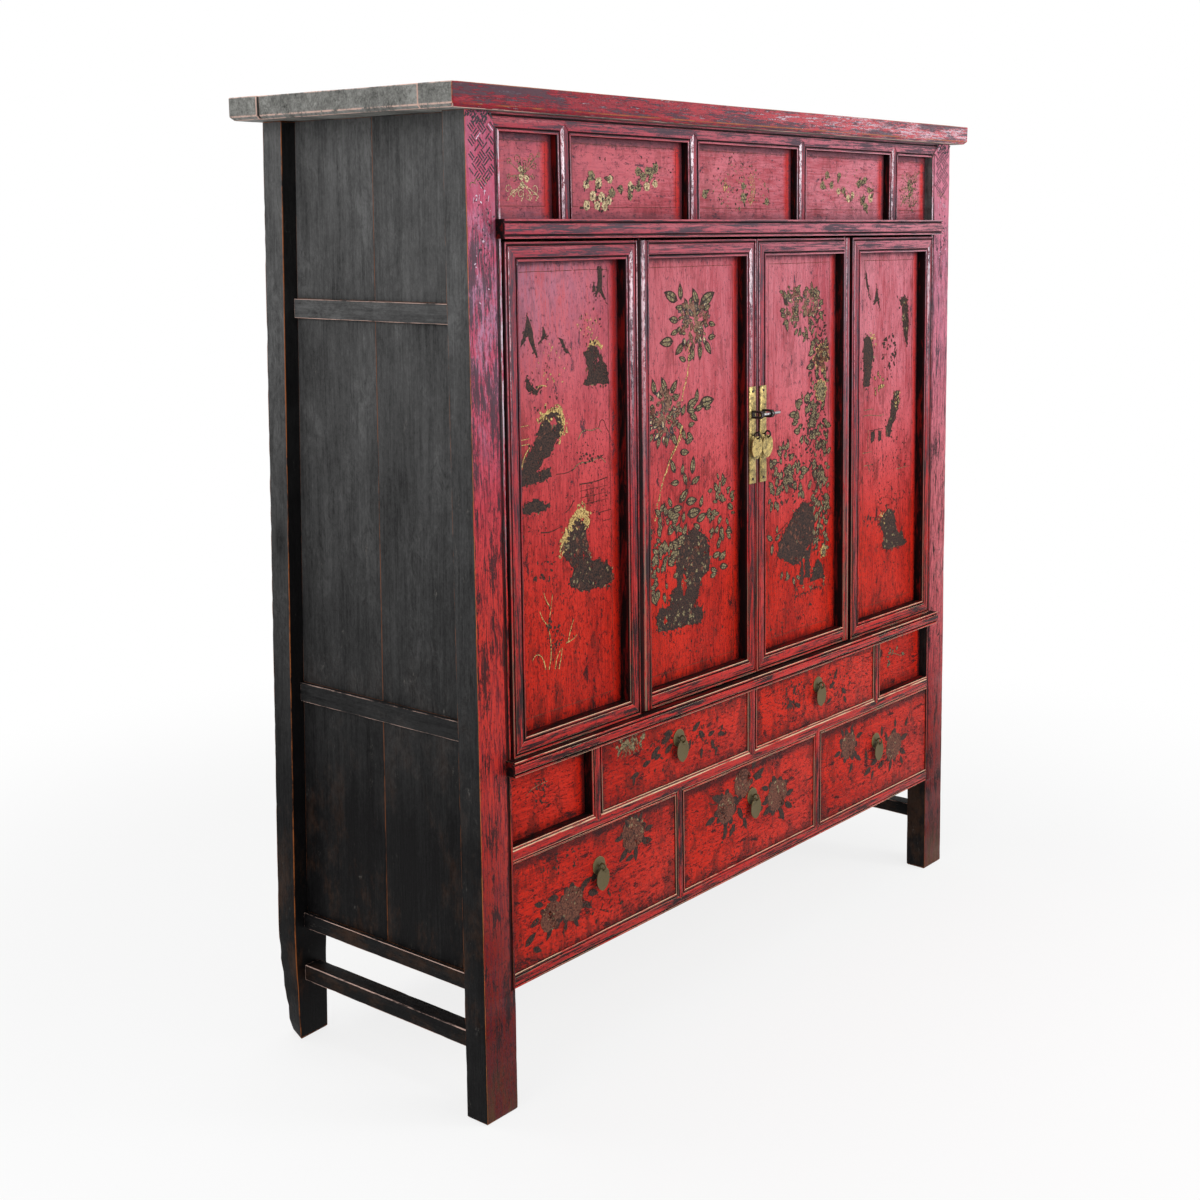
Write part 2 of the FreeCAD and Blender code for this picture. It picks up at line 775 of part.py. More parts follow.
def frieze_boards():
    """Five boards between the frieze posts, set back behind them."""
    half = frieze_width / 2
    low, high = head_rail_high, top_rail_low
    posts = (-frieze_post_far, -frieze_post_near, frieze_post_near, frieze_post_far)
    lefts = [lambda z: -inner_x(z)] + [lambda z, p=p: p + half for p in posts]
    rights = [lambda z, p=p: p - half for p in posts] + [inner_x]
    boards = []
    for left, right in zip(lefts, rights):
        corners = [(left(low), low), (right(low), low), (right(high), high), (left(high), high)]
        boards.append(leaning_slab(corners, -frieze_recess, -frieze_recess - frieze_board))
    return boards


def frieze_row():
    """Centre and width of each frieze post."""
    centres = (-frieze_post_far, -frieze_post_near, frieze_post_near, frieze_post_far)
    return [(x, frieze_width) for x in centres]


def upper_row():
    """Centre and width of each post in the upper drawer row."""
    return [(-upper_post_x, upper_post_width), (0.0, centre_post_width), (upper_post_x, upper_post_width)]


def lower_row():
    return [(-lower_post_x, lower_post_width), (lower_post_x, lower_post_width)]


def drawer_rails():
    """Rail between the drawer rows and rail below them, notched for the posts."""
    def plain(low, high):
        return front_rail(low, high, 0.0, flush_rail_back, lambda z: -inner_x(z), inner_x,
                          shallow_groove_depth)

    middle = notched(plain(mid_rail_low, mid_rail_high), upper_row(), mid_rail_high, -1, -post_set_back)
    middle = notched(middle, lower_row(), mid_rail_low, 1, -post_set_back)
    base = notched(plain(base_rail_low, base_rail_high), lower_row(), base_rail_high, -1, -post_set_back)
    return middle, base


def drawer_posts():
    upper = [front_post(x, width, mid_rail_high, sill_rail_low, -post_set_back, post_back, (-1,))
             for x, width in upper_row()]
    lower = [front_post(x, width, base_rail_high, mid_rail_low, -post_set_back, post_back)
             for x, width in lower_row()]
    return upper + lower


def row_panels():
    """Fixed boards at both ends of the upper drawer row."""
    boards = []
    near = upper_post_x + upper_post_width / 2
    for side in (-1, 1):
        corners = [(side * near, mid_rail_high), (side * inner_x(mid_rail_high), mid_rail_high),
                   (side * inner_x(sill_rail_low), sill_rail_low), (side * near, sill_rail_low)]
        boards.append(leaning_slab(corners, -row_panel_recess, -row_panel_recess - row_panel_board))
    return boards


def edge_runners():
    """Runners of the lower row beside the legs, under the outer drawers."""
    runners = []
    for side in (-1, 1):
        x0 = side * inner_x(base_rail_high)
        x1 = x0 - side * runner_width / 2
        low = base_rail_high - runner_thickness
        outline = [(x0, low), (x1, low), (x1, base_rail_high), (x0, base_rail_high)]
        runners.append(beam_y(outline, lambda z: front_y(z, -flush_rail_back), behind_runner))
    return runners


def build():
    """All nodes by name, each a list of separate solids."""
    nodes = {}
    nodes["top_planks"] = top_board()
    for name, side in (("left", -1), ("right", 1)):
        nodes["leg_front_" + name] = [leg(side, False)]
        nodes["leg_rear_" + name] = [leg(side, True)]
        nodes["side_rails_" + name] = [side_rail(side, low, high, side_rail_thickness) for low, high in (
            (side_bottom_low, side_bottom_high), (side_middle_low, side_middle_high),
            (side_upper_low, side_upper_high))]
        nodes["side_boards_" + name] = (side_boards(side, side_bottom_high, side_middle_low)
                                        + side_boards(side, side_middle_high, side_upper_low)
                                        + side_boards(side, side_upper_high, body_height))
    nodes["side_stretchers"] = [side_rail(side, stretcher_low, stretcher_high, stretcher_thickness)
                                for side in (-1, 1)]
    nodes["top_rail_front"] = [top_rail()]
    nodes["head_rail"] = [lapped_rail(head_rail_low, head_rail_high, False)]
    nodes["sill_rail"] = [lapped_rail(sill_rail_low, sill_rail_high, True)]
    middle, base = drawer_rails()
    nodes["mid_rail"] = [middle]
    nodes["base_rail"] = [base]
    nodes["frieze_posts"] = [front_post(x, width, head_rail_high, top_rail_low, -frieze_post_set_back,
                                        frieze_recess + frieze_board, (1,)) for x, width in frieze_row()]
    nodes["frieze_boards"] = frieze_boards()
    nodes["row_panels"] = row_panels()
    nodes["drawer_posts"] = drawer_posts()
    nodes["rear_rails"] = [rear_rail(low, high) for low, high in (
        (side_bottom_low, side_bottom_high), (mid_rail_low, mid_rail_high),
        (side_middle_low, side_middle_high), (rear_top_low, body_height))]
    nodes["rear_boards"] = (rear_planks(side_bottom_high, mid_rail_low)
                            + rear_planks(mid_rail_high, side_middle_low)
                            + rear_planks(side_middle_high, rear_top_low))
    nodes["cupboard_floor"] = [inner_board(floor_top - floor_thickness, floor_top, rail_back)]
    nodes["inner_shelf"] = [inner_board(shelf_top - shelf_thickness, shelf_top,
                                        leg_depth + shelf_front_clear)]
    nodes["bearers"] = [bearer(side, high) for side in (-1, 1) for high in (
        floor_top - floor_thickness, shelf_top - shelf_thickness)]
    upper_guide = upper_post_width - guide_clearance * 2
    centre_guide = centre_post_width - guide_clearance * 2
    lower_guide = lower_post_width - guide_clearance * 2
    nodes["drawer_runners"] = [
        runner(-upper_post_x, mid_rail_high, upper_guide, 0, 1), runner(0.0, mid_rail_high, centre_guide),
        runner(upper_post_x, mid_rail_high, upper_guide, 1, 0),
        runner(-lower_post_x, base_rail_high, lower_guide), runner(lower_post_x, base_rail_high, lower_guide)]
    nodes["drawer_runners"] += edge_runners()
    for name, side in (("left", -1), ("right", 1)):
        nodes["door_frame_" + name], board = door_parts(side)
        nodes["door_board_" + name] = [board]
        nodes["panel_frame_" + name], board = outer_panel_parts(side)
        nodes["panel_board_" + name] = [board]
        nodes["lock_plate_" + name], nodes["lock_staples_" + name], pendant = lock_set(side)
        nodes["door_pull_" + name] = [pendant]
    nodes["locking_pin"] = [locking_pin()]
    drawers = (("upper_left", "upper", 0), ("upper_right", "upper", 1), ("lower_left", "lower", 0),
               ("lower_centre", "lower", 1), ("lower_right", "lower", 2))
    for name, row, index in drawers:
        front, box = drawer_parts(row, index)
        eye_z = upper_eye_z if row == "upper" else lower_eye_z
        left, right = drawer_span(row, index)
        rose_set, pendant = pull((left(eye_z) + right(eye_z)) / 2, eye_z)
        nodes["drawer_front_" + name] = [front]
        nodes["drawer_box_" + name] = box
        nodes["pull_rose_" + name] = rose_set
        nodes["pull_leaf_" + name] = [pendant]
    return nodes


def main():
    os.makedirs("parts", exist_ok=True)
    for name, solids in build().items():
        shape = solids[0] if len(solids) == 1 else Part.makeCompound(solids)
        for solid in shape.Solids:
            if not solid.isValid() or solid.Volume <= 0:
                print("bad solid in", name)
        shape.exportStep("parts/" + name + ".step")


main()
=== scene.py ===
import math
import random

import bmesh
import bpy
from bpy.props import FloatProperty, FloatVectorProperty, PointerProperty
from mathutils import Matrix, Vector, noise


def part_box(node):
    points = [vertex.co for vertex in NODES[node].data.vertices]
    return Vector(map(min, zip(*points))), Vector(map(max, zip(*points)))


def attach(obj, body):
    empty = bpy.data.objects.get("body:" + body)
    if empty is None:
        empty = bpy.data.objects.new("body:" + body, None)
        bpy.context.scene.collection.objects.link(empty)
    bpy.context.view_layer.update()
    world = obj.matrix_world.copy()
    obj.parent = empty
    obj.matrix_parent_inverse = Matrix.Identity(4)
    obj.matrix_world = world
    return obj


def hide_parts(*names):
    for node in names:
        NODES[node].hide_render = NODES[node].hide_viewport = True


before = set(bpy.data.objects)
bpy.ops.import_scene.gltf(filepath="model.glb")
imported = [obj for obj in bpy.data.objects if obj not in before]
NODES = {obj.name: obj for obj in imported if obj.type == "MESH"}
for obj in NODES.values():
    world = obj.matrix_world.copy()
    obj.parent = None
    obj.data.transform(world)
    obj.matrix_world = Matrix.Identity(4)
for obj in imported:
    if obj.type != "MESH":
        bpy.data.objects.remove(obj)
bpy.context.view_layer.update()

bl_info = {
    "name": "Wedding cabinet",
    "version": (1, 0, 0),
    "blender": (4, 5, 0),
    "location": "3D View > Sidebar > Cabinet",
    "description": "Dresses the packed wedding cabinet in worn lacquer, faded painting, brass and iron",
    "category": "Object",
}

MM = 0.001
SNAP = 0.00001
FRONT_LEAN = 0.0203
SIDE_LEAN = 0.0169
DRAWERS = ("upper_left", "upper_right", "lower_left", "lower_centre", "lower_right")


def srgb(red, green, blue):
    """A colour given as 0 to 255 on screen, as the linear colour that a shader wants."""
    def linear(level):
        share = level / 255
        return share / 12.92 if share <= 0.04045 else ((share + 0.055) / 1.055) ** 2.4
    return (linear(red), linear(green), linear(blue))


def colour_property(name, red, green, blue, description):
    return FloatVectorProperty(name=name, description=description, subtype="COLOR", size=3, min=0.0, max=1.0,
                               default=srgb(red, green, blue))


def length_property(name, millimetres, description):
    return FloatProperty(name=name, description=description, default=millimetres * MM, precision=4,
                         subtype="DISTANCE", unit="LENGTH")


def angle_property(name, radians, description):
    return FloatProperty(name=name, description=description, default=radians, subtype="ANGLE")


def level_property(name, level, description):
    return FloatProperty(name=name, description=description, default=level)


class CabinetSizes(bpy.types.PropertyGroup):
    leg_arris: length_property("Leg arris", 3.2, "Width of the rounding along the arrises of legs and top")
    rail_arris: length_property("Rail arris", 1.6, "Width of the rounding along rails and stretchers")
    bead_arris: length_property("Bead arris", 0.35, "Width of the rounding along the mouldings")
    metal_arris: length_property("Metal arris", 0.5, "Width of the rounding along brass and iron")
    wave: length_property("Wave", 0.9, "How far the hand-planed faces stray from flat")
    chip: length_property("Chips", 3.0, "Depth of the chips along the arrises")
    foot_wear: length_property("Foot wear", 26.0, "How far the rear left foot is worn away at the floor")
    foot_wear_height: length_property("Foot wear height", 230.0, "How high the wear of that foot reaches")
    end_step: length_property("End step", 5.0, "How far the ends of the top's planks differ")
    paint_relief: length_property("Paint relief", 0.16, "Height of the painted ornament above its board")
    leaf_rim: length_property("Leaf rim", 2.2, "Width of the raised rim on a hanging leaf")


class CabinetColours(bpy.types.PropertyGroup):
    board_bright: colour_property("Board red", 198, 42, 26, "Red of the lower boards")
    # Painted sheen: the upper boards are painted paler and pinker, as if reflecting light.
    board_sheen_red: colour_property("Faded board red", 192, 82, 90, "Paler red of the upper boards")
    board_deep: colour_property("Board deep red", 134, 20, 16, "Deeper red in the streaks of the boards")
    # Streak tone of the upper boards, under the same painted sheen.
    board_dusk: colour_property("Board dusk red", 156, 56, 66, "Deeper red in the streaks of the upper boards")
    # Painted light: vivid red beside the right stile, where the sheen is painted as blocked by the recess
    # wall.
    board_sheen_blocked_red: colour_property("Sheltered red", 200, 32, 14, "Vivid red beside the right stile of a board")
    smoke: colour_property("Smoke", 84, 26, 20, "Brown smudges of old smoke and hands")
    # Painted sheen: a pink reflection painted on boards, rails and legs, growing towards the upper right.
    sheen: colour_property("Sheen", 208, 148, 164, "Pinkish sheen of the boards at the upper right")
    frame_bright: colour_property("Frame red", 184, 46, 42, "Red of the lower rails and stiles")
    frame_dark: colour_property("Dark frame red", 86, 26, 28, "Darker red in their streaks")
    # Painted sheen: the upper rails and stiles are painted paler and pinker.
    frame_sheen_red: colour_property("Faded frame red", 168, 66, 78, "Pinkish red of the upper rails and stiles")
    # Streak tone of the upper rails and stiles, under the same painted sheen.
    frame_purple: colour_property("Frame purple", 92, 46, 60, "Purple in their streaks")
    leg_foot: colour_property("Leg red at the foot", 92, 24, 18, "Brownish red of the legs near the floor")
    leg_bright: colour_property("Leg red", 190, 50, 42, "Red of the front legs")
    # Painted sheen: the violet red of the leg tops.
    leg_high: colour_property("Leg red at the top", 192, 84, 112, "Violet red of the front legs at the top")
    leg_deep: colour_property("Leg purple", 84, 26, 38, "Deeper tone in the streaks of the legs")
    top_red: colour_property("Top edge red", 150, 36, 50, "Dark crimson of the top's front edge")
    # Painted sheen: a violet reflection painted on the lacquer near the top left.
    violet_sheen: colour_property("Bloom", 174, 132, 160, "Violet bloom on the lacquer near the top left")
    # Painted highlight: the pale tone of glints on crests, beads and upper edges.
    glint: colour_property("Polish", 232, 214, 226, "Pale polish along the crests of the upper posts")
    ground: colour_property("Ground", 32, 24, 26, "Dark ground that shows where the red is rubbed away")
    # The dark ground, shown paler near the top.
    ground_high: colour_property("Dusty ground", 74, 60, 70, "The same ground under dust near the top")
    # Near-black tone for the grooves, and painted shade on the recess walls beside the boards.
    dirt_and_shade: colour_property("Dirt", 14, 10, 11, "Old dirt in grooves and recesses")
    # Beads and arrises worn to the gesso, with a painted highlight where they catch light from above.
    rubbed_edge_highlight: colour_property("Rubbed edge", 244, 204, 168, "Pale edge of beads, rubbed down to the gesso")
    # The same worn edges near the top, with a painted highlight.
    pink_rubbed_highlight: colour_property("Pink edge", 222, 106, 112, "Edge of the upper beads, rubbed to thin lacquer")
    bare_edge: colour_property("Bare edge", 196, 112, 56, "Orange brown of arrises worn to the wood")
    dry_edge: colour_property("Dry edge", 232, 196, 182, "Pale arrises of the black rails")
    # Paler tone of the black paint towards the top.
    black_light: colour_property("Black paint, dusty", 112, 112, 112, "Dusty tone of the black sides")
    black_deep: colour_property("Black paint", 12, 11, 12, "Deep tone of the black sides")
    scuff: colour_property("Scuff", 150, 145, 138, "Scuffs and scratches in the black paint")
    grey: colour_property("Worn top", 168, 168, 163, "Worn grey of the top and its ends")
    grey_deep: colour_property("Worn top, deep", 62, 62, 60, "Darker streaks of the worn top")
    wood_light: colour_property("Wood, light", 150, 108, 72, "Light grain of unpainted wood")
    wood_dark: colour_property("Wood, dark", 92, 60, 38, "Dark grain of unpainted wood")
    gilt: colour_property("Gilt", 214, 184, 116, "Gold of the painting where it is best kept")
    faded_gilt: colour_property("Faded gilt", 112, 84, 50, "Gold of the painting gone brown")
    brass: colour_property("Brass", 198, 172, 104, "Rubbed brass")
    brass_dull: colour_property("Dull brass", 92, 80, 50, "Brass gone dull and olive")
    iron: colour_property("Iron", 46, 42, 40, "Forged iron")
    steel: colour_property("Bright iron", 176, 176, 178, "Iron rubbed bright")
    floor: colour_property("Floor", 236, 236, 236, "Pale studio floor")


class CabinetStage(bpy.types.PropertyGroup):
    camera_place: FloatVectorProperty(name="Camera place", description="Where the camera stands, in metres",
                                      subtype="TRANSLATION", default=(-2.6906, -2.0806, 1.4995))
    camera_heading: angle_property("Heading", 0.8808, "Turn of the camera towards the right")
    camera_dip: angle_property("Dip", 0.2174, "How far the camera looks down")
    camera_roll: angle_property("Roll", -0.0039, "Roll of the camera")
    camera_lens: level_property("Lens", 50.39, "Focal length in millimetres for a 36 mm frame")
    world_level: level_property("Room light", 0.42, "Strength of the even light of the room")
    key_power: level_property("Key power", 50.0, "Power of the large front light in watts")
    fill_power: level_property("Fill power", 36.0, "Power of the light on the left in watts")
    sheen_power: level_property("Sheen power", 30.0, "Power of the light that glosses flat faces in watts")
    glint_power: level_property("Glint power", 48.0, "Power of the light that glints on mouldings, in watts")
    top_power: level_property("Top power", 70.0, "Power of the light overhead in watts")
    floor_glow: level_property("Floor glow", 0.8, "How far the floor is seen as pure white")


# Shader maths


class Value:
    """A number inside a material. Sums on it add the nodes that work them out."""

    def __init__(self, finish, socket):
        self.finish = finish
        self.socket = socket

    def maths(self, operation, *others):
        values = [self, *others]
        node = self.finish.node("ShaderNodeMath", {"operation": operation}, dict(enumerate(values)))
        return Value(self.finish, node.outputs[0])

    def __add__(self, other):
        return self.maths("ADD", other)

    def __mul__(self, other):
        return self.maths("MULTIPLY", other)

    def __sub__(self, other):
        return self.maths("SUBTRACT", other)

    def __rsub__(self, other):
        return (self * -1.0) + other

    def __pow__(self, power):
        return self.maths("POWER", power)

    def __abs__(self):
        return self.maths("ABSOLUTE")

    def at_most(self, other):
        return self.maths("MINIMUM", other)

    def at_least(self, other):
        return self.maths("MAXIMUM", other)

    def rise(self, start, end):
        """0 up to start, 1 from end, and a smooth change between them; start may be the larger."""
        node = self.finish.node("ShaderNodeMapRange", {"interpolation_type": "SMOOTHSTEP"},
                                {"Value": self, "From Min": start, "From Max": end})
        return Value(self.finish, node.outputs["Result"])


class Nodes:
    """A node tree that is built up node by node."""

    def __init__(self, tree):
        self.tree = tree

    def node(self, kind, settings=None, inputs=None):
        """A node of a type, its settings first, then the values or links of its sockets."""
        made = self.tree.nodes.new(kind)
        for name, value in (settings or {}).items():
            setattr(made, name, value)
        for key, value in (inputs or {}).items():
            self.put(made.inputs[key], value)
        return made

    def put(self, socket, value):
        if isinstance(value, Value):
            value = value.socket
        if isinstance(value, bpy.types.NodeSocket):
            self.tree.links.new(value, socket)
        elif hasattr(value, "__len__") and socket.type == "RGBA":
            socket.default_value = (*value[:3], 1.0)
        else:
            socket.default_value = value

    def seen(self):
        """1 where the surface or room is seen straight, mirrored or through glass, else 0."""
        path = self.node("ShaderNodeLightPath")
        share = Value(self, path.outputs["Is Camera Ray"])
        for ray in ("Is Glossy Ray", "Is Transmission Ray"):
            share = share.at_least(Value(self, path.outputs[ray]))
        return share


class Finish(Nodes):
    """A material. Its patterns are worked out from places, directions and what the mesh carries."""

    def __init__(self, name):
        self.material = bpy.data.materials.new(name)
        self.material.use_nodes = True
        super().__init__(self.material.node_tree)
        self.shader = self.tree.nodes["Principled BSDF"]

    def place(self):
        """Object coordinates, in metres."""
        return self.node("ShaderNodeTexCoord").outputs["Object"]

    def facing(self):
        """The surface's own direction, in the piece's axes."""
        return self.split(self.node("ShaderNodeTexCoord").outputs["Normal"])

    def split(self, vector):
        node = self.node("ShaderNodeSeparateXYZ", None, {0: vector})
        return [Value(self, out) for out in node.outputs]

    def join(self, x, y, z):
        return self.node("ShaderNodeCombineXYZ", None, {0: x, 1: y, 2: z}).outputs[0]

    def stretch(self, vector, scale, shift=(0.0, 0.0, 0.0)):
        return self.node("ShaderNodeMapping", {"vector_type": "POINT"},
                         {"Vector": vector, "Location": shift, "Scale": scale}).outputs[0]

    def measure(self, name):
        """A number that the mesh carries at its points or faces."""
        return Value(self, self.node("ShaderNodeAttribute", {"attribute_name": name}).outputs["Fac"])

    def direction(self, name):
        return self.node("ShaderNodeAttribute", {"attribute_name": name}).outputs["Vector"]

    def noise(self, vector, scale, detail=3.0, roughness=0.55, distortion=0.0):
        node = self.node("ShaderNodeTexNoise", None, {"Vector": vector, "Scale": scale, "Detail": detail,
                                                      "Roughness": roughness, "Distortion": distortion})
        return Value(self, node.outputs["Fac"])

    def cells(self, vector, scale):
        node = self.node("ShaderNodeTexVoronoi", None, {"Vector": vector, "Scale": scale})
        return Value(self, node.outputs["Distance"])

    def blend(self, share, first, second):
        """The first colour where share is 0 and the second where it is 1."""
        node = self.node("ShaderNodeMix", {"data_type": "RGBA"}, {0: share, 6: first, 7: second})
        return node.outputs[2]

    def bump(self, height, strength, distance):
        inputs = {"Height": height, "Strength": strength, "Distance": distance}
        return self.node("ShaderNodeBump", None, inputs).outputs[0]

    def surface(self, **inputs):
        for name, value in inputs.items():
            self.put(self.shader.inputs[name.replace("_", " ")], value)
        return self.material


def along(finish, axis):
    """Object coordinates turned so that x runs with the grain."""
    x, y, z = finish.split(finish.place())
    return {"x": finish.join(x, y, z), "y": finish.join(y, x, z), "z": finish.join(z, x, y)}[axis]


LEG_INNER_EDGE = 0.7282
LONG = (0.03, 1.0, 1.0)
GRAIN = (0.07, 1.0, 1.0)
PATCH = (0.36, 1.0, 1.0)
SPECK = (0.5, 1.0, 1.0)


# Finishes


def board_finish(name, colours, axis, wear=0.0, recess_shading=1.0):
    """Boards: streaked and smoked red, with painted sheen making them paler above, a vivid band and then
    painted shadow at the right, and bare behind.
    """
    finish = Finish(name)
    place = finish.place()
    x, _, z = finish.split(place)
    grain = along(finish, axis)
    left, right, low, high = [finish.measure(f"from_{edge}") for edge in ("left", "right", "low", "high")]
    streaks = finish.noise(finish.stretch(grain, GRAIN), 260.0, 5.0, 0.74)
    broad = finish.noise(finish.stretch(grain, PATCH), 9.0, 5.0, 0.62)
    smudges = finish.noise(finish.stretch(place, (1.0, 1.0, 0.4)), 34.0, 8.0, 0.76, 0.3)
    patches = finish.noise(finish.stretch(grain, PATCH), 48.0, 9.0, 0.8, 0.3)
    specks = finish.noise(finish.stretch(grain, SPECK), 230.0, 6.0, 0.86)
    ragged = finish.noise(place, 70.0, 6.0, 0.75) * 0.03 - 0.015
    # Painted sheen: paler and pinker above, and pinker still towards the upper right.
    upper_sheen = z.rise(0.8, 1.4)
    bright = finish.blend(upper_sheen, colours.board_bright, colours.board_sheen_red)
    bright = finish.blend(upper_sheen * x.rise(-1.0, 0.6) * 0.5, bright, colours.sheen)
    deep = finish.blend(upper_sheen, colours.board_deep, colours.board_dusk)
    red = finish.blend((streaks * 0.55 + broad * 0.45).rise(0.42, 0.62) * 0.8, bright, deep)
    # Painted sheen: a violet reflection streaked over the upper left.
    haze = z.rise(1.15, 1.5) * (z.rise(1.54, 1.5) * 0.7 + 0.3) * x.rise(-0.2, -0.72)
    haze = haze * (streaks * 0.5 + smudges * 0.5).rise(0.38, 0.58)
    red = finish.blend(haze * 0.75, red, colours.violet_sheen)
    rim = left.at_most(low).at_most(high).at_most(right)
    smoke = (smudges + (rim + ragged).rise(0.06, 0.0) * 0.07).rise(0.52, 0.63) * (0.66 - upper_sheen * 0.34)
    red = finish.blend(smoke, red, colours.smoke)
    # Painted light: a vivid band beside the right stile, where the sheen is painted as blocked.
    glow = (right + ragged * 0.4).rise(0.032, 0.014) * recess_shading
    red = finish.blend(glow * 0.7, red, colours.board_sheen_blocked_red)
    # Darker along the left and lower edges; painted shadow under the rail along the top edge and beside the
    # right stile.
    edge = (left.at_most(low) + ragged).rise(0.018, 0.002) * 0.45
    edge = edge.at_least((high + ragged * 0.9).rise(0.018, 0.006) * 0.8)
    edge = edge.at_least((right + ragged * 0.6).rise(0.013, 0.004) * 0.85 * recess_shading)
    bias = z.rise(1.3, 0.7) * 0.022 - 0.004 + wear + edge * 0.05
    worn = (patches + bias).rise(0.6, 0.615) * 0.9
    worn = worn.at_least((specks + bias).rise(0.569, 0.585) * 0.85)
    ground = finish.blend(upper_sheen, colours.ground, colours.ground_high)
    colour = finish.blend(worn.at_least(edge * 0.85), red, ground)
    behind = finish.facing()[1].rise(0.2, 0.6)
    wood = finish.blend(streaks.rise(0.3, 0.7), colours.wood_light, colours.wood_dark)
    colour = finish.blend(behind, colour, wood)
    gloss = broad * 0.3 + 0.26 + worn * 0.2 + behind * 0.2
    relief = streaks * 0.6 + specks * 0.3 - worn * 0.6
    return finish.surface(Base_Color=colour, Roughness=gloss, Specular_IOR_Level=0.07,
                          Normal=finish.bump(relief, 0.5, 0.0014))


def member_finish(name, colours, wear=0.0):
    """Frames, rails and posts. The mesh carries grain, depth behind the face, lying, bead and arris."""
    finish = Finish(name)
    x, _, z = finish.split(finish.place())
    side = finish.facing()[0]
    grain = finish.direction("grain")
    depth, bead, arris, lying = [finish.measure(mark) for mark in ("depth", "bead", "arris", "lying")]
    high = z.rise(0.75, 1.4)
    long = finish.noise(finish.stretch(grain, LONG), 320.0, 5.0, 0.76)
    lumps = finish.noise(finish.stretch(grain, (0.16, 1.0, 1.0)), 48.0, 8.0, 0.78, 0.2)
    specks = finish.noise(finish.stretch(grain, SPECK), 260.0, 5.0, 0.84)
    # Painted sheen: paler and pinker above, and on lying members pinker towards the right.
    bright = finish.blend(high, colours.frame_bright, colours.frame_sheen_red)
    bright = finish.blend(high * lying * x.rise(-0.8, 0.6) * 0.4, bright, colours.sheen)
    dark = finish.blend(high, colours.frame_dark, colours.frame_purple)
    ground = finish.blend(high, colours.ground, colours.ground_high)
    upright = 1.0 - lying
    colour = finish.blend((long * 0.6 + lumps * 0.4 + upright * 0.02).rise(0.45, 0.56), bright, dark)
    dusty = high * 0.012 + z.rise(1.6, 1.65) * 0.024
    black = (long * 0.45 + lumps * 0.55 + lying * dusty + wear).rise(0.518, 0.538)
    black = black.at_least((specks + wear).rise(0.563, 0.585) * 0.85)
    colour = finish.blend(black * 0.9, colour, ground)
    # Painted highlight on the left-facing crests of the upper posts; the coat there is real gloss.
    crest_highlight = side.rise(-0.04, -0.11) * side.rise(-0.5, -0.3) * upright * z.rise(1.0, 1.6)
    kept = (lumps * 0.4 + specks * 0.6).rise(0.53, 0.48)
    colour = finish.blend(crest_highlight * kept * 0.7, colour, colours.glint)
    # Near black in the grooves; painted shade on the recess walls that lie deeper behind the face.
    groove = depth.rise(1.1, 2.3)
    colour = finish.blend(groove * 0.93, colour, colours.dirt_and_shade)
    recess_shade = finish.blend(lumps.rise(0.48, 0.6) * 0.6, colours.dirt_and_shade, colours.board_deep)
    colour = finish.blend(depth.rise(4.5, 6.5) * 0.95, colour, recess_shade)
    # Pale lines on beads and arrises: wear, and a painted highlight, strongest on lying members and whiter on
    # upper posts and to the right.
    broken = (long * 0.6 + lumps * 0.4).rise(0.44, 0.50)
    pale = finish.blend(high, colours.rubbed_edge_highlight, colours.pink_rubbed_highlight)
    pale = finish.blend(high * (upright * 0.6 + x.rise(-0.5, 0.6) * 0.5), pale, colours.glint)
    colour = finish.blend(bead * (lying * 0.7 + 0.2) * broken, colour, pale)
    colour = finish.blend(arris * broken * (lying * 0.35 + 0.15), colour, pale)
    gloss = lumps * 0.3 + 0.14 + black * 0.14 + groove * 0.2
    return finish.surface(Base_Color=colour, Roughness=gloss, Specular_IOR_Level=0.09, Coat_Roughness=0.16,
                          Coat_Weight=crest_highlight * kept * 0.7,
                          Normal=finish.bump(long * 0.5 + specks * 0.3 - black * 0.4, 0.35, 0.001))


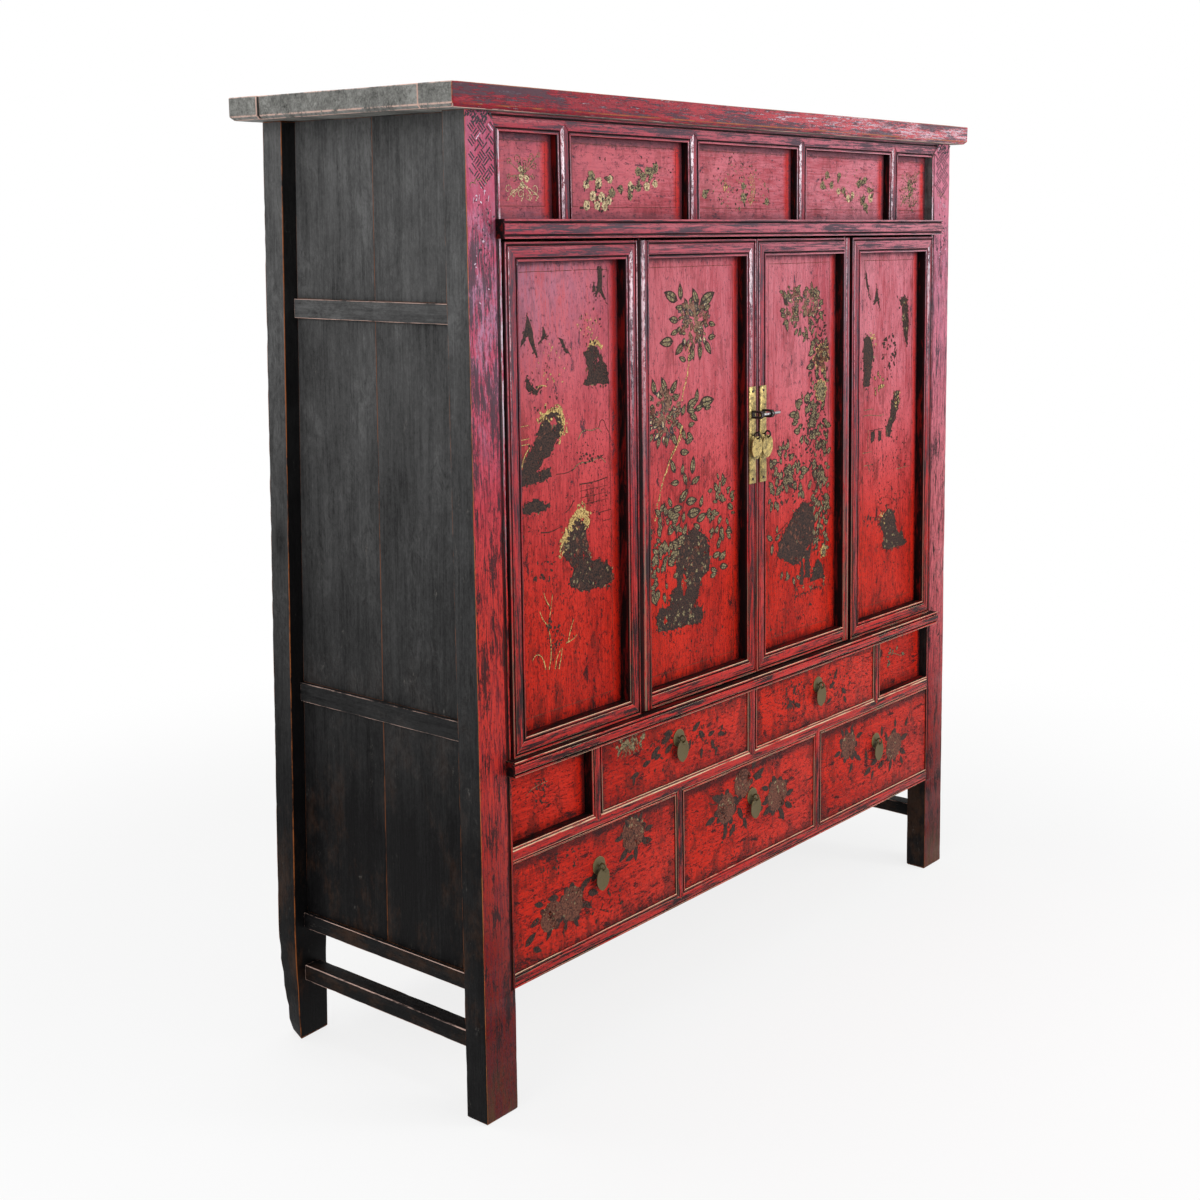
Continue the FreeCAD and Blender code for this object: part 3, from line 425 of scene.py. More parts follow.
def leg_finish(name, colours, leg=True):
    """Front of the legs and of the top: mottled with black, with painted violet sheen near the top left."""
    finish = Finish(name)
    x, _, z = finish.split(finish.place())
    grain = finish.direction("grain")
    depth, arris = finish.measure("depth"), finish.measure("arris")
    cloud_length = (0.3, 1.0, 1.0) if leg else (0.1, 1.0, 1.0)
    clouds = finish.noise(finish.stretch(grain, cloud_length), 30.0, 9.0, 0.82, 0.2)
    streaks = finish.noise(finish.stretch(grain, GRAIN), 260.0, 5.0, 0.78)
    specks = finish.noise(finish.stretch(grain, SPECK), 230.0, 6.0, 0.86)
    haze = finish.noise(finish.stretch(grain, (0.3, 1.0, 1.0), (2.0, 1.0, 5.0)), 60.0, 8.0, 0.84)
    high = z.rise(0.85, 1.4)
    ground = finish.blend(high, colours.ground, colours.ground_high)
    if leg:
        red = finish.blend(z.rise(0.05, 0.8), colours.leg_foot, colours.leg_bright)
        red = finish.blend(high, red, colours.leg_high)
        # Painted sheen on the right leg.
        red = finish.blend(x.rise(0.2, 0.7) * z.rise(0.3, 0.9) * 0.4, red, colours.sheen)
    else:
        # Painted sheen: the top's edge is paler towards the right.
        red = finish.blend(x.rise(-0.7, 0.5), colours.top_red, colours.board_sheen_red)
    calm = 1.0 - z.rise(1.46, 1.56) * 0.75 if leg else 1.0
    colour = finish.blend(streaks.rise(0.45, 0.58) * calm * 0.75, red, colours.leg_deep)
    # Painted sheen and highlights: violet haze and pale glints near the leg top, strongest on the left.
    pale = x.rise(0.5, -0.7) * 0.7 + 0.3
    if leg:
        sheen_band = z.rise(1.05, 1.36) * z.rise(1.56, 1.48) + z.rise(1.5, 1.6) * 0.3
        colour = finish.blend(haze.rise(0.46, 0.58) * sheen_band * pale * 0.75, colour, colours.violet_sheen)
        glints = (streaks * 0.4 + specks * 0.6).rise(0.555, 0.58) * sheen_band * pale
        colour = finish.blend(glints * 0.5, colour, colours.glint)
    else:
        # Pale rubs on the top's edge: wear, with painted sheen growing towards the right.
        rubbed = streaks * 0.5 + specks * 0.5 + x.rise(-0.6, 0.9) * 0.085
        colour = finish.blend(rubbed.rise(0.55, 0.61) * 0.85, colour, colours.glint)
    stained = z.rise(1.1, 1.25) * z.rise(1.52, 1.44) * x.rise(-0.5, -0.7) * 0.022 if leg else 0.022
    black = (clouds * 0.7 + streaks * 0.3 + stained - x.rise(0.2, 0.9) * 0.01).rise(0.515, 0.535)
    black = black.at_least((specks + z.rise(0.4, 0.1) * 0.02).rise(0.55, 0.58) * 0.85)
    colour = finish.blend(black * calm * 0.88, colour, ground)
    broken = (clouds * 0.5 + streaks * 0.5).rise(0.47, 0.51)
    if leg:
        colour = finish.blend(depth.rise(0.8, 2.0) * 0.85, colour, colours.dirt_and_shade)
        # Painted highlight along the inner edge of the leg near the top.
        across = abs(x) + z * SIDE_LEAN
        rim = across.rise(LEG_INNER_EDGE, LEG_INNER_EDGE - MM) * broken * high
        colour = finish.blend(rim * 0.9, colour, colours.glint)
        outer = across.rise(0.77, 0.785) * arris.rise(0.05, 0.35)
        colour = finish.blend(outer * (broken * 0.6 + 0.4), colour, colours.bare_edge)
        colour = finish.blend(z.rise(0.14, 0.0) * clouds.rise(0.4, 0.6) * 0.75, colour, colours.wood_dark)
    else:
        colour = finish.blend(arris.rise(0.2, 0.7) * broken * 0.6, colour, colours.bare_edge)
    gloss = clouds * 0.24 + 0.2 + black * 0.12
    return finish.surface(Base_Color=colour, Roughness=gloss, Specular_IOR_Level=0.08,
                          Normal=finish.bump(streaks * 0.5 + specks * 0.5 - black * 0.4, 0.5, 0.0014))


def black_finish(name, colours, light, deep, level=0.0, edge=1.0, contrast=1.0):
    """Thin paint over softwood: paler above, deep below, darkened by painted shade on faces that look to the
    front, knotty, scuffed, worn to the wood on arrises.
    """
    finish = Finish(name)
    grain = finish.direction("grain")
    arris, lying = finish.measure("arris"), finish.measure("lying")
    z = finish.split(finish.place())[2]
    fibres = finish.noise(finish.stretch(grain, LONG), 330.0, 5.0, 0.76)
    bands = finish.noise(finish.stretch(grain, (0.05, 1.0, 1.0)), 55.0, 6.0, 0.72, 0.5)
    clouds = finish.noise(finish.stretch(grain, SPECK), 9.0, 8.0, 0.76)
    fine = finish.noise(finish.stretch(grain, SPECK), 210.0, 6.0, 0.88)
    curls = finish.noise(finish.stretch(grain, SPECK, (5.0, 2.0, 0.0)), 30.0, 8.0, 0.82, 2.4)
    height = ((z - 0.44) * 0.57 + level).at_most(1.0).at_least(0.015)
    vary = (bands - 0.5) * 1.7 + (fibres - 0.5) * 1.5 + (clouds - 0.5) * 2.6 + (fine - 0.5) * 2.0
    vary = vary + (curls - 0.5) * clouds.rise(0.47, 0.6) * 4.0
    dust = height + vary * contrast * (height * 0.8 + 0.07)
    # Painted shade: faces that look to the front, such as the recess walls of the rear legs, are darkened.
    front = finish.facing()[1].rise(-0.4, -0.9)
    colour = finish.blend(dust.at_least(0.0).at_most(1.0) * (1.0 - front * 0.9), deep, light)
    knots = finish.cells(finish.stretch(grain, (0.5, 1.0, 1.0)), 6.0)
    colour = finish.blend(knots.rise(0.14, 0.04) * fine.rise(0.42, 0.54) * 0.75, colour, deep)
    brown = clouds.rise(0.5, 0.66) * z.rise(0.9, 0.1) * 0.3
    colour = finish.blend(brown, colour, colours.wood_dark)
    scuffs = finish.noise(finish.stretch(grain, (0.3, 1.0, 1.0), (3.1, 0.7, 1.9)), 26.0, 9.0, 0.84, 0.5)
    scuff = scuffs.rise(0.60, 0.68) * fine.rise(0.44, 0.56) * (height.rise(0.5, 0.1) * 0.35 + 0.2)
    colour = finish.blend(scuff, colour, colours.scuff)
    broken = (fibres * 0.4 + clouds * 0.6).rise(0.45, 0.52)
    bare = finish.blend(lying, colours.bare_edge, colours.dry_edge)
    colour = finish.blend(arris.rise(0.1, 0.6) * broken * edge * (lying * 0.3 + 0.65), colour, bare)
    gloss = clouds * 0.3 + 0.4 + scuff * 0.3
    return finish.surface(Base_Color=colour, Roughness=gloss, Specular_IOR_Level=0.07,
                          Normal=finish.bump(bands * 0.5 + fibres * 0.5 + fine * 0.5, 0.7, 0.002))


def bare_wood_finish(name, colours, axis, dark=0.0):
    """Unpainted wood inside and behind: long grain, growth bands and grey handling marks."""
    finish = Finish(name)
    grain = along(finish, axis)
    bands = finish.noise(finish.stretch(grain, (0.05, 1.0, 1.0)), 46.0, 5.0, 0.6, 0.8)
    fibres = finish.noise(finish.stretch(grain, (0.04, 1.0, 1.0)), 420.0, 3.0, 0.7)
    stain = finish.noise(grain, 6.0, 4.0)
    dark_bands = (bands * 0.8 + fibres * 0.35).rise(0.42, 0.74)
    colour = finish.blend(dark_bands, colours.wood_light, colours.wood_dark)
    colour = finish.blend(stain.rise(0.45, 0.75) * 0.5 + dark, colour, colours.ground)
    relief = bands * 0.4 + fibres * 0.6
    return finish.surface(Base_Color=colour, Roughness=fibres * 0.15 + 0.62,
                          Normal=finish.bump(relief, 0.4, 0.0008))


def brass_finish(name, colours, dull=0.0):
    """Old brass: rubbed bright on the high spots, olive in the hollows, pitted."""
    finish = Finish(name)
    place = finish.place()
    arris = finish.measure("arris")
    patches = finish.noise(place, 80.0, 6.0, 0.72)
    grit = finish.noise(place, 600.0, 4.0, 0.75)
    pits = finish.cells(place, 330.0).rise(0.22, 0.1)
    tarnish = (patches * 0.8 + grit * 0.5 + dull).rise(0.54, 0.76)
    colour = finish.blend(tarnish, colours.brass, colours.brass_dull)
    colour = finish.blend(pits * 0.7, colour, colours.ground)
    colour = finish.blend(arris.rise(0.2, 0.9) * 0.6, colour, colours.gilt)
    return finish.surface(Base_Color=colour, Metallic=0.55, Roughness=tarnish * 0.25 + 0.34 + pits * 0.2,
                          Normal=finish.bump(patches * 0.5 + grit * 0.25 - pits * 0.4, 0.5, 0.0006))


def iron_finish(name, colours, bright=0.0):
    """Forged iron: dark scale, rubbed pale where it is handled."""
    finish = Finish(name)
    place = finish.place()
    arris = finish.measure("arris")
    scale_marks = finish.noise(place, 160.0, 5.0, 0.7)
    grit = finish.noise(place, 900.0, 3.0, 0.7)
    rub = (arris * 0.5 + scale_marks * 0.6 + bright).rise(0.5, 0.85)
    colour = finish.blend(rub, colours.iron, colours.steel)
    return finish.surface(Base_Color=colour, Metallic=0.75, Roughness=0.52 - rub * 0.2,
                          Normal=finish.bump(scale_marks + grit * 0.4, 0.5, 0.0006))


def paint_finish(name, dark, light, cover):
    """Painted ornament, flaked away so that the red shows through it."""
    finish = Finish(name)
    place = finish.place()
    tone = finish.noise(place, 330.0, 5.0, 0.8)
    flakes = finish.noise(finish.stretch(place, (1.0, 1.0, 0.6)), 240.0, 6.0, 0.84, 0.4)
    broad = finish.noise(place, 26.0, 5.0, 0.7)
    colour = finish.blend(tone.rise(0.45, 0.55), dark, light)
    kept = (flakes * 0.6 + broad * 0.4).rise(cover + 0.02, cover - 0.02)
    return finish.surface(Base_Color=colour, Roughness=tone * 0.2 + 0.42, Alpha=kept,
                          Specular_IOR_Level=0.12, Normal=finish.bump(flakes, 0.3, 0.0004))


# Meshes


def deselect_all():
    if bpy.context.object and bpy.context.object.mode != "OBJECT":
        bpy.ops.object.mode_set(mode="OBJECT")
    bpy.ops.object.select_all(action="DESELECT")


def make_active(piece):
    deselect_all()
    piece.select_set(True)
    bpy.context.view_layer.objects.active = piece
    return piece


def add_piece(name, mesh):
    mesh.name = name
    piece = bpy.data.objects.new(name, mesh)
    bpy.context.scene.collection.objects.link(piece)
    return make_active(piece)


def added(name):
    """The piece that an add operator has just made."""
    piece = bpy.context.object
    piece.name = name
    piece.data.name = name
    return piece


def settle(piece):
    """Puts a piece's place, turn and size into its mesh."""
    make_active(piece)
    bpy.ops.object.transform_apply(location=True, rotation=True, scale=True)
    return piece


def join_pieces(name, pieces):
    deselect_all()
    for piece in pieces:
        piece.select_set(True)
    bpy.context.view_layer.objects.active = pieces[0]
    if len(pieces) > 1:
        bpy.ops.object.join()
    piece = bpy.context.object
    piece.name = name
    piece.data.name = name
    return settle(piece)


def edit(piece, kind, action="DESELECT"):
    """Opens a piece's mesh to pick its points, edges or faces, with all or nothing picked."""
    make_active(piece)
    bpy.ops.object.mode_set(mode="EDIT")
    bpy.ops.mesh.select_mode(type=kind)
    bpy.ops.mesh.select_all(action=action)


def close():
    bpy.ops.object.mode_set(mode="OBJECT")


def pick(piece, kind, wanted):
    """Picks those edges or faces of an open mesh for which a test holds."""
    form = bmesh.from_edit_mesh(piece.data)
    for part in getattr(form, kind):
        if wanted(part):
            part.select_set(True)
    bmesh.update_edit_mesh(piece.data)


def number_solids(mesh):
    """Numbers a CAD mesh's faces solid by solid: its triangles come one closed solid after another."""
    places = [tuple(round(value / SNAP) for value in point.co) for point in mesh.vertices]
    unpaired, solid = set(), 0
    for polygon in mesh.polygons:
        polygon.material_index = solid
        corners = [places[index] for index in polygon.vertices]
        for start, end in zip(corners, corners[1:] + corners[:1]):
            if (end, start) in unpaired:
                unpaired.discard((end, start))
            else:
                unpaired.add((start, end))
        if not unpaired:
            solid += 1
    return solid


def merged_copy(node, name):
    """A copy of a CAD node's mesh, its solids merged one by one and its flat faces whole."""
    piece = add_piece(name, NODES[node].data.copy())
    piece.data.materials.clear()
    count = number_solids(piece.data)
    edit(piece, "FACE", "SELECT")
    bpy.ops.mesh.customdata_custom_splitnormals_clear()
    for solid in range(count + 1):
        bpy.ops.mesh.select_all(action="DESELECT")
        pick(piece, "faces", lambda face: face.material_index == solid)
        bpy.ops.mesh.remove_doubles(threshold=SNAP)
    form = bmesh.from_edit_mesh(piece.data)
    for face in form.faces:
        face.material_index = 0
    bmesh.update_edit_mesh(piece.data)
    bpy.ops.mesh.select_all(action="SELECT")
    bpy.ops.mesh.dissolve_limited(angle_limit=math.radians(0.3))
    bpy.ops.mesh.select_all(action="DESELECT")
    close()
    return piece


def round_arrises(piece, width, segments=2, sharpness=28.0, profile=0.6):
    """Rounds every convex edge that is sharper than an angle, and marks how far into the arris a point is."""
    def sharp(edge):
        return edge.is_manifold and edge.is_convex and edge.calc_face_angle(0.0) > math.radians(sharpness)

    edit(piece, "EDGE")
    pick(piece, "edges", sharp)
    piece.data.materials.append(None)
    piece.data.materials.append(None)
    bpy.ops.mesh.bevel(offset=width, segments=segments, profile=profile, affect="EDGES", clamp_overlap=True,
                       material=1)
    close()
    mark_arris(piece, segments)
    piece.data.materials.clear()
    return piece


def mark_arris(piece, segments):
    """Gives each point how deep it lies in the rounded edges: 0 on the flats, 1 along the middle."""
    mesh = piece.data
    flat = set()
    for face in mesh.polygons:
        if face.material_index == 0:
            flat.update(face.vertices)
        face.material_index = 0
    level = {index: 0 for index in flat}
    edges = [tuple(edge.vertices) for edge in mesh.edges]
    for step in range(1, segments):
        for a, b in edges:
            if level.get(a) == step - 1 and b not in level:
                level[b] = step
            elif level.get(b) == step - 1 and a not in level:
                level[a] = step
    deepest = max(1.0, segments / 2)
    layer = mesh.attributes.new("arris", "FLOAT", "POINT")
    for point in mesh.vertices:
        layer.data[point.index].value = min(1.0, level.get(point.index, segments) / deepest)


EDGE_BAND = 3 * MM
BEAD_HIGH, BEAD_LOW = 0.55, 1.5
WAVES_PER_METRE = 5.0
CHIPS_PER_METRE = 38.0
CHIP_PITCH = 14 * MM


def solids_of(mesh):
    """The points of each separate solid of a mesh, solid by solid."""
    parent = list(range(len(mesh.vertices)))

    def root(index):
        while parent[index] != index:
            parent[index] = parent[parent[index]]
            index = parent[index]
        return index

    for edge in mesh.edges:
        a, b = root(edge.vertices[0]), root(edge.vertices[1])
        if a != b:
            parent[a] = b
    solids = {}
    for point in mesh.vertices:
        solids.setdefault(root(point.index), []).append(point)
    return list(solids.values())


def add_marks(mesh, kind, *names):
    """New attributes on the mesh's points. All are made before the first is fetched."""
    for name in names:
        mesh.attributes.new(name, kind, "POINT")
    return [mesh.attributes[name] for name in names]


def mark_grain(piece, face=None):
    """Marks each point with its place, x along the member it is on, with its depth behind the front in
    millimetres, and with whether that member lies across."""
    chance = random.Random(piece.name)
    piece.data.attributes.new("grain", "FLOAT_VECTOR", "POINT")
    lying, depth = add_marks(piece.data, "FLOAT", "lying", "depth")
    grain = piece.data.attributes["grain"]
    for points in solids_of(piece.data):
        size = [max(point.co[axis] for point in points) - min(point.co[axis] for point in points)
                for axis in range(3)]
        order = sorted(range(3), key=lambda axis: -size[axis])
        order = (order[0], *sorted(order[1:]))
        shift = Vector([chance.uniform(0.0, 9.0) for _ in range(3)])
        for point in points:
            grain.data[point.index].vector = Vector([point.co[axis] for axis in order]) + shift
            lying.data[point.index].value = 0.0 if order[0] == 2 else 1.0
            if face is not None:
                depth.data[point.index].value = (point.co.y - face(point.co.z)) / MM
    return piece


def mark_beads(piece, face):
    """Marks the flats of the narrow beads along a moulding."""
    mesh = piece.data
    layer = mesh.attributes.new("bead", "FLOAT", "FACE")
    for polygon in mesh.polygons:
        depth = (polygon.center.y - face(polygon.center.z)) / MM
        is_bead = polygon.normal.y < -0.65 and BEAD_HIGH < depth < BEAD_LOW
        layer.data[polygon.index].value = 1.0 if is_bead else 0.0


def mark_edges(piece):
    """Gives each point of a board its distance from the board's four edges, in metres."""
    layers = add_marks(piece.data, "FLOAT", "from_left", "from_right", "from_low", "from_high")
    for points in solids_of(piece.data):
        low = min(point.co.z for point in points)
        high = max(point.co.z for point in points)
        foot = [point.co.x for point in points if point.co.z < low + EDGE_BAND]
        head = [point.co.x for point in points if point.co.z > high - EDGE_BAND]
        for point in points:
            share = (point.co.z - low) / (high - low)
            left = min(foot) * (1.0 - share) + min(head) * share
            right = max(foot) * (1.0 - share) + max(head) * share
            measures = (point.co.x - left, right - point.co.x, point.co.z - low, high - point.co.z)
            for layer, measure in zip(layers, measures):
                layer.data[point.index].value = measure


def cut_across(piece, axis, pitch):
    """Cuts a piece at even steps along an axis, so that its long faces can follow a wave."""
    places = [point.co[axis] for point in piece.data.vertices]
    low, high = min(places), max(places)
    steps = max(1, round((high - low) / pitch))
    normal = [0.0, 0.0, 0.0]
    normal[axis] = 1.0
    edit(piece, "VERT")
    for step in range(1, steps):
        place = [0.0, 0.0, 0.0]
        place[axis] = low + (high - low) * step / steps
        bpy.ops.mesh.select_all(action="SELECT")
        bpy.ops.mesh.bisect(plane_co=place, plane_no=normal)
    close()


def weather(piece, wave, chip):
    """Lets hand-planed faces stray inwards from flat, and knocks chips out of the arrises."""
    mesh = piece.data
    arris = mesh.attributes["arris"]
    normals = [point.normal.copy() for point in mesh.vertices]
    for point, normal in zip(mesh.vertices, normals):
        swell = abs(noise.noise(point.co * WAVES_PER_METRE)) * wave
        dent = max(0.0, noise.noise(point.co * CHIPS_PER_METRE) - 0.12) * chip
        point.co -= normal * (swell + dent * arris.data[point.index].value)


def front_face(node):
    """The leaning plane that a node's foremost points lie in, as y at a height."""
    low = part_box(node)[0]
    return lambda z: low.y + FRONT_LEAN * (z - low.z)


def smooth(piece, angle):
    make_active(piece)
    bpy.ops.object.shade_smooth_by_angle(angle=math.radians(angle))


def finish_piece(piece, body, slot, *nodes):
    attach(piece, body)
    if nodes:
        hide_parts(*nodes)
    return piece


def clad(piece, angle, body, slot, node, *materials):
    """Gives a piece its materials and smooth faces, and puts it on its body in a CAD node's place."""
    for material in materials:
        piece.data.materials.append(material)
    smooth(piece, angle)
    return finish_piece(piece, body, slot, node)


def repaint(piece, number, wanted):
    """Gives one of a piece's materials to the faces for which a test holds."""
    for polygon in piece.data.polygons:
        if wanted(polygon):
            polygon.material_index = number


def is_front(polygon):
    return polygon.normal.y < -0.5


def rounded_copy(node, name, width, segments=2, profile=0.6):
    piece = merged_copy(node, name)
    round_arrises(piece, width, segments, profile=profile)
    return piece


def moulded_piece(name, node, body, material, behind, width):
    """A frame or rail whose points know how deep they lie, bare behind."""
    face = front_face(node)
    piece = rounded_copy(node, name, width)
    mark_grain(piece, face)
    mark_beads(piece, face)
    repaint(piece, 1, lambda polygon: polygon.normal.y > 0.9)
    return clad(piece, 34.0, body, "frame_lacquer", node, material, behind)


def black_piece(name, node, material, width, segments=4, worn_along=None):
    """A piece of the black carcase; a rail is worn along its length."""
    piece = rounded_copy(node, name, width, segments)
    if worn_along is not None:
        sizes = bpy.context.scene.cabinet_sizes
        cut_across(piece, worn_along, CHIP_PITCH)
        weather(piece, sizes.wave, sizes.chip)
    mark_grain(piece)
    return clad(piece, 40.0, "cabinet", "dark_wood", node, material)


def board_piece(name, node, body, material, width):
    """A board whose points know how far they are from its edges."""
    piece = rounded_copy(node, name, width)
    mark_edges(piece)
    return clad(piece, 34.0, body, "red_lacquer", node, material)


# Painted ornament


class Ornament:
    """Painting on one flat board: thin closed shapes in row-frame millimetres (x, z), laid on its face."""

    def __init__(self, name, node, body):
        self.name = name
        self.body = body
        self.relief = bpy.context.scene.cabinet_sizes.paint_relief
        self.face = front_face(node)
        self.chance = random.Random(name)
        self.between = self.chance.uniform
        self.forms = {}
        self.lines = {}
        self.layer = 0

    def matrix(self, x, z, turn=0.0, size=(1.0, 1.0)):
        """From a shape drawn in x and y, in millimetres, onto the board at a place, lifted layer by layer."""
        self.layer += 1
        up = Vector((0.0, FRONT_LEAN, 1.0)).normalized()
        out = Vector((0.0, -1.0, FRONT_LEAN)).normalized()
        base = Matrix((Vector((1.0, 0.0, 0.0)), up, out)).transposed().to_4x4()
        lift = out * (LAYER_LIFT * (self.layer % LAYERS))
        where = Vector((x * MM, self.face(z * MM), z * MM)) + lift
        scale = Matrix.Diagonal((size[0] * MM, size[1] * MM, MM, 1.0))
        return Matrix.Translation(where) @ base @ Matrix.Rotation(turn, 4, "Z") @ scale

    def take(self, mesh, tone, matrix):
        """Adds a copy of a mesh to what is painted in a tone."""
        form = self.forms.setdefault(tone, bmesh.new())
        first = len(form.verts)
        form.from_mesh(mesh)
        form.verts.ensure_lookup_table()
        bmesh.ops.transform(form, matrix=matrix, verts=form.verts[first:])

    def stamp(self, shape, x, z, length, width, angle, tone):
        """A copy of a shape that is one unit long and wide, its root at a place, pointing along an angle."""
        self.take(SHAPES[shape].data, tone, self.matrix(x, z, math.radians(angle), (length, width)))

    def each(self, draw, *rows):
        """Draws one thing after another, each from its own row of values."""
        for values in rows:
            draw(*values)

    def spot(self, x, z, spread):
        """A chance place in an oval about a place."""
        angle = self.between(0.0, math.tau)
        reach = math.sqrt(self.between(0.0, 1.0))
        return x + spread[0] * reach * math.cos(angle), z + spread[1] * reach * math.sin(angle), angle

    def leaf(self, x, z, length, angle, tone="olive", width_share=0.46):
        """A leaf: a dark outline with two paler halves left and right of its rib."""
        self.stamp("leaf", x, z, length, length * width_share, angle, "ink")
        run = Vector((math.cos(math.radians(angle)), math.sin(math.radians(angle)))) * length * 0.1
        self.stamp("halves", x + run.x, z + run.y, length * 0.8, length * width_share * 0.74, angle, tone)

    def leaves(self, places, tone="olive", width_share=0.46):
        for x, z, length, angle in places:
            self.leaf(x, z, length, angle, tone, width_share)

    def blossom(self, x, z, radius, tone="umber", petals=9, rim="olive"):
        """An open flower: rings of overlapping petals round a heart."""
        for ring, share in ((0, 1.0), (1, 0.68), (2, 0.4)):
            count = max(4, petals - 2 * ring)
            for step in range(count):
                angle = 360 * (step + 0.5 * ring) / count + self.between(-12.0, 12.0)
                reach = radius * share * self.between(0.85, 1.1)
                width = reach * 5.2 / count
                self.stamp("petal", x, z, reach, width, angle, tone)
                self.stamp("petal_rim", x, z, reach * 1.03, width * 1.02, angle, "ink" if ring == 1 else rim)

    def peony(self, x, z, radius, count=60):
        """A fuzzy flower dabbed in small dark-rimmed petals, with the red showing between them."""
        self.dots(x, z, (radius * 0.85, radius * 0.85), count // 2, radius * 0.4, "dove")
        for number in range(count):
            px, pz, angle = self.spot(x, z, (radius, radius))
            long = radius * self.between(0.2, 0.42)
            turn = math.degrees(angle) + self.between(-80.0, 80.0)
            self.stamp("leaf", px, pz, long, long * 0.6, turn, ("soot", "ink", "umber")[number % 3])
            tone = "cream" if number % 9 == 0 else ("dove", "olive")[number % 2]
            self.stamp("fleck", px, pz, long * 0.75, long * 0.34, turn, tone)

    def smooth_blossom(self, x, z, radius, lobes=5):
        """A brown blot with a lobed outline, a thin dark rim and dark curls inside."""
        for step in range(lobes * 2):
            angle = 180 * step / lobes + self.between(-16.0, 16.0)
            reach = radius * self.between(0.95, 1.25)
            self.stamp("petal", x, z, reach, radius * 0.5, angle, "ink")
        for step in range(lobes):
            angle = 360 * step / lobes + self.between(-16.0, 16.0)
            reach = radius * self.between(0.8, 1.05)
            self.stamp("petal", x, z, reach, radius * 1.25, angle, "umber")
        for _ in range(4):
            dx, dz, angle = self.spot(0.0, 0.0, (radius * 0.55, radius * 0.55))
            self.curl(x + dx, z + dz, radius * 0.34, math.degrees(angle), 1.3, "ink")
        self.dots(x, z, (radius * 0.9, radius * 0.9), 10, radius * 0.2, "olive")

    def curl(self, x, z, size, angle, width=1.3, tone="gilt", turns=1.15):
        """A brush line that winds inwards to a point."""
        places = []
        for step in range(CURL_STEPS + 1):
            share = step / CURL_STEPS
            turn = math.radians(angle) + math.tau * turns * share
            reach = size * (1.0 - 0.78 * share)
            places.append((x + reach * math.cos(turn), z + reach * math.sin(turn)))
        self.line(places, width, tone, 0.6)

    def cluster(self, x, z, spread, count, length, tone="olive"):
        """Small leaves scattered about a place and pointing away from it."""
        for _ in range(count):
            px, pz, angle = self.spot(x, z, spread)
            size = length * self.between(0.7, 1.25)
            turn = math.degrees(angle) + self.between(-55.0, 55.0)
            self.leaf(px, pz, size, turn, tone, self.between(0.42, 0.6))

    def dots(self, x, z, spread, count, size, tone="ink"):
        """Flecks strewn over an oval."""
        for _ in range(count):
            px, pz, _ = self.spot(x, z, spread)
            self.fleck(px, pz, size * self.between(0.4, 1.4), tone)

    def fleck(self, x, z, long, tone):
        self.stamp("fleck", x, z, long, long * self.between(0.35, 0.8), self.between(0.0, 360.0), tone)

    def fray(self, outline, size, tone, spread):
        """Flecks scattered along an outline, so that its edge looks brushed and flaked."""
        for a, b in stretches(outline):
            for _ in range(max(1, round((b - a).length / EDGE_PITCH))):
                place = a.lerp(b, self.chance.random())
                long = size * self.between(0.5, 1.5)
                self.fleck(place.x + self.chance.gauss(0.0, spread), place.y + self.chance.gauss(0.0, spread),
                           long, tone)

    def stem(self, places, size, tone="gilt"):
        """A stem dabbed bead by bead."""
        for a, b in stretches(places)[:-1]:
            angle = math.degrees(math.atan2(b.y - a.y, b.x - a.x))
            count = max(1, round((b - a).length / (size * 1.15)))
            for step in range(count):
                place = a.lerp(b, step / count)
                long = size * self.between(0.9, 1.7)
                x = place.x + self.between(-0.8, 0.8)
                width = size * self.between(0.55, 0.95)
                self.stamp("fleck", x, place.y, long, width, angle + self.between(-16.0, 16.0), tone)

    def rose(self, x, z, radius, tone="cream"):
        """A small round blossom with a dark heart and dark nicks between its petals."""
        turn = self.between(0.0, 72.0)
        self.dots(x, z, (radius, radius), 5, radius * 0.8, "ink")
        for step in range(5):
            self.stamp("petal", x, z, radius * self.between(0.8, 1.1), radius * 0.95,
                       turn + 72 * step, tone)
        self.dots(x, z, (radius * 0.45, radius * 0.45), 4, radius * 0.45, "ink")
        self.dots(x, z, (radius * 0.9, radius * 0.9), 3, radius * 0.4, "olive")

    def line(self, places, width=1.6, tone="gilt", taper=0.7):
        """A brush line through places, thinner towards its end."""
        self.lines.setdefault(tone, []).append((places, width, taper))

    def rock(self, outline, tone="ink", ragged=2.2, holes=()):
        """A filled shape with a ragged, frayed edge, and holes in it where the red shows."""
        curve = bpy.data.curves.new(self.name, "CURVE")
        curve.dimensions = "2D"
        curve.fill_mode = "BOTH"
        curve.extrude = self.relief / MM / 2
        for ring in (outline, *holes):
            points = []
            for a, b in stretches(ring):
                parts = max(1, round((b - a).length / EDGE_PITCH))
                for part in range(parts):
                    jitter = Vector((self.between(-ragged, ragged), self.between(-ragged, ragged)))
                    points.append(a.lerp(b, part / parts) + jitter)
            spline = curve.splines.new("POLY")
            spline.points.add(len(points) - 1)
            for point, place in zip(spline.points, points):
                point.co = (place.x - outline[0][0], place.y - outline[0][1], 0.0, 1.0)
            spline.use_cyclic_u = True
        self.take(self.meshed(curve), tone, self.matrix(*outline[0]))
        self.fray(outline, ragged * 2.6, tone, ragged * 1.4)
        if tone == "ink" and ragged > 2.0:
            self.speckle(outline, 7.0, "olive", 230)
            self.speckle(outline, 9.0, "umber", 420)

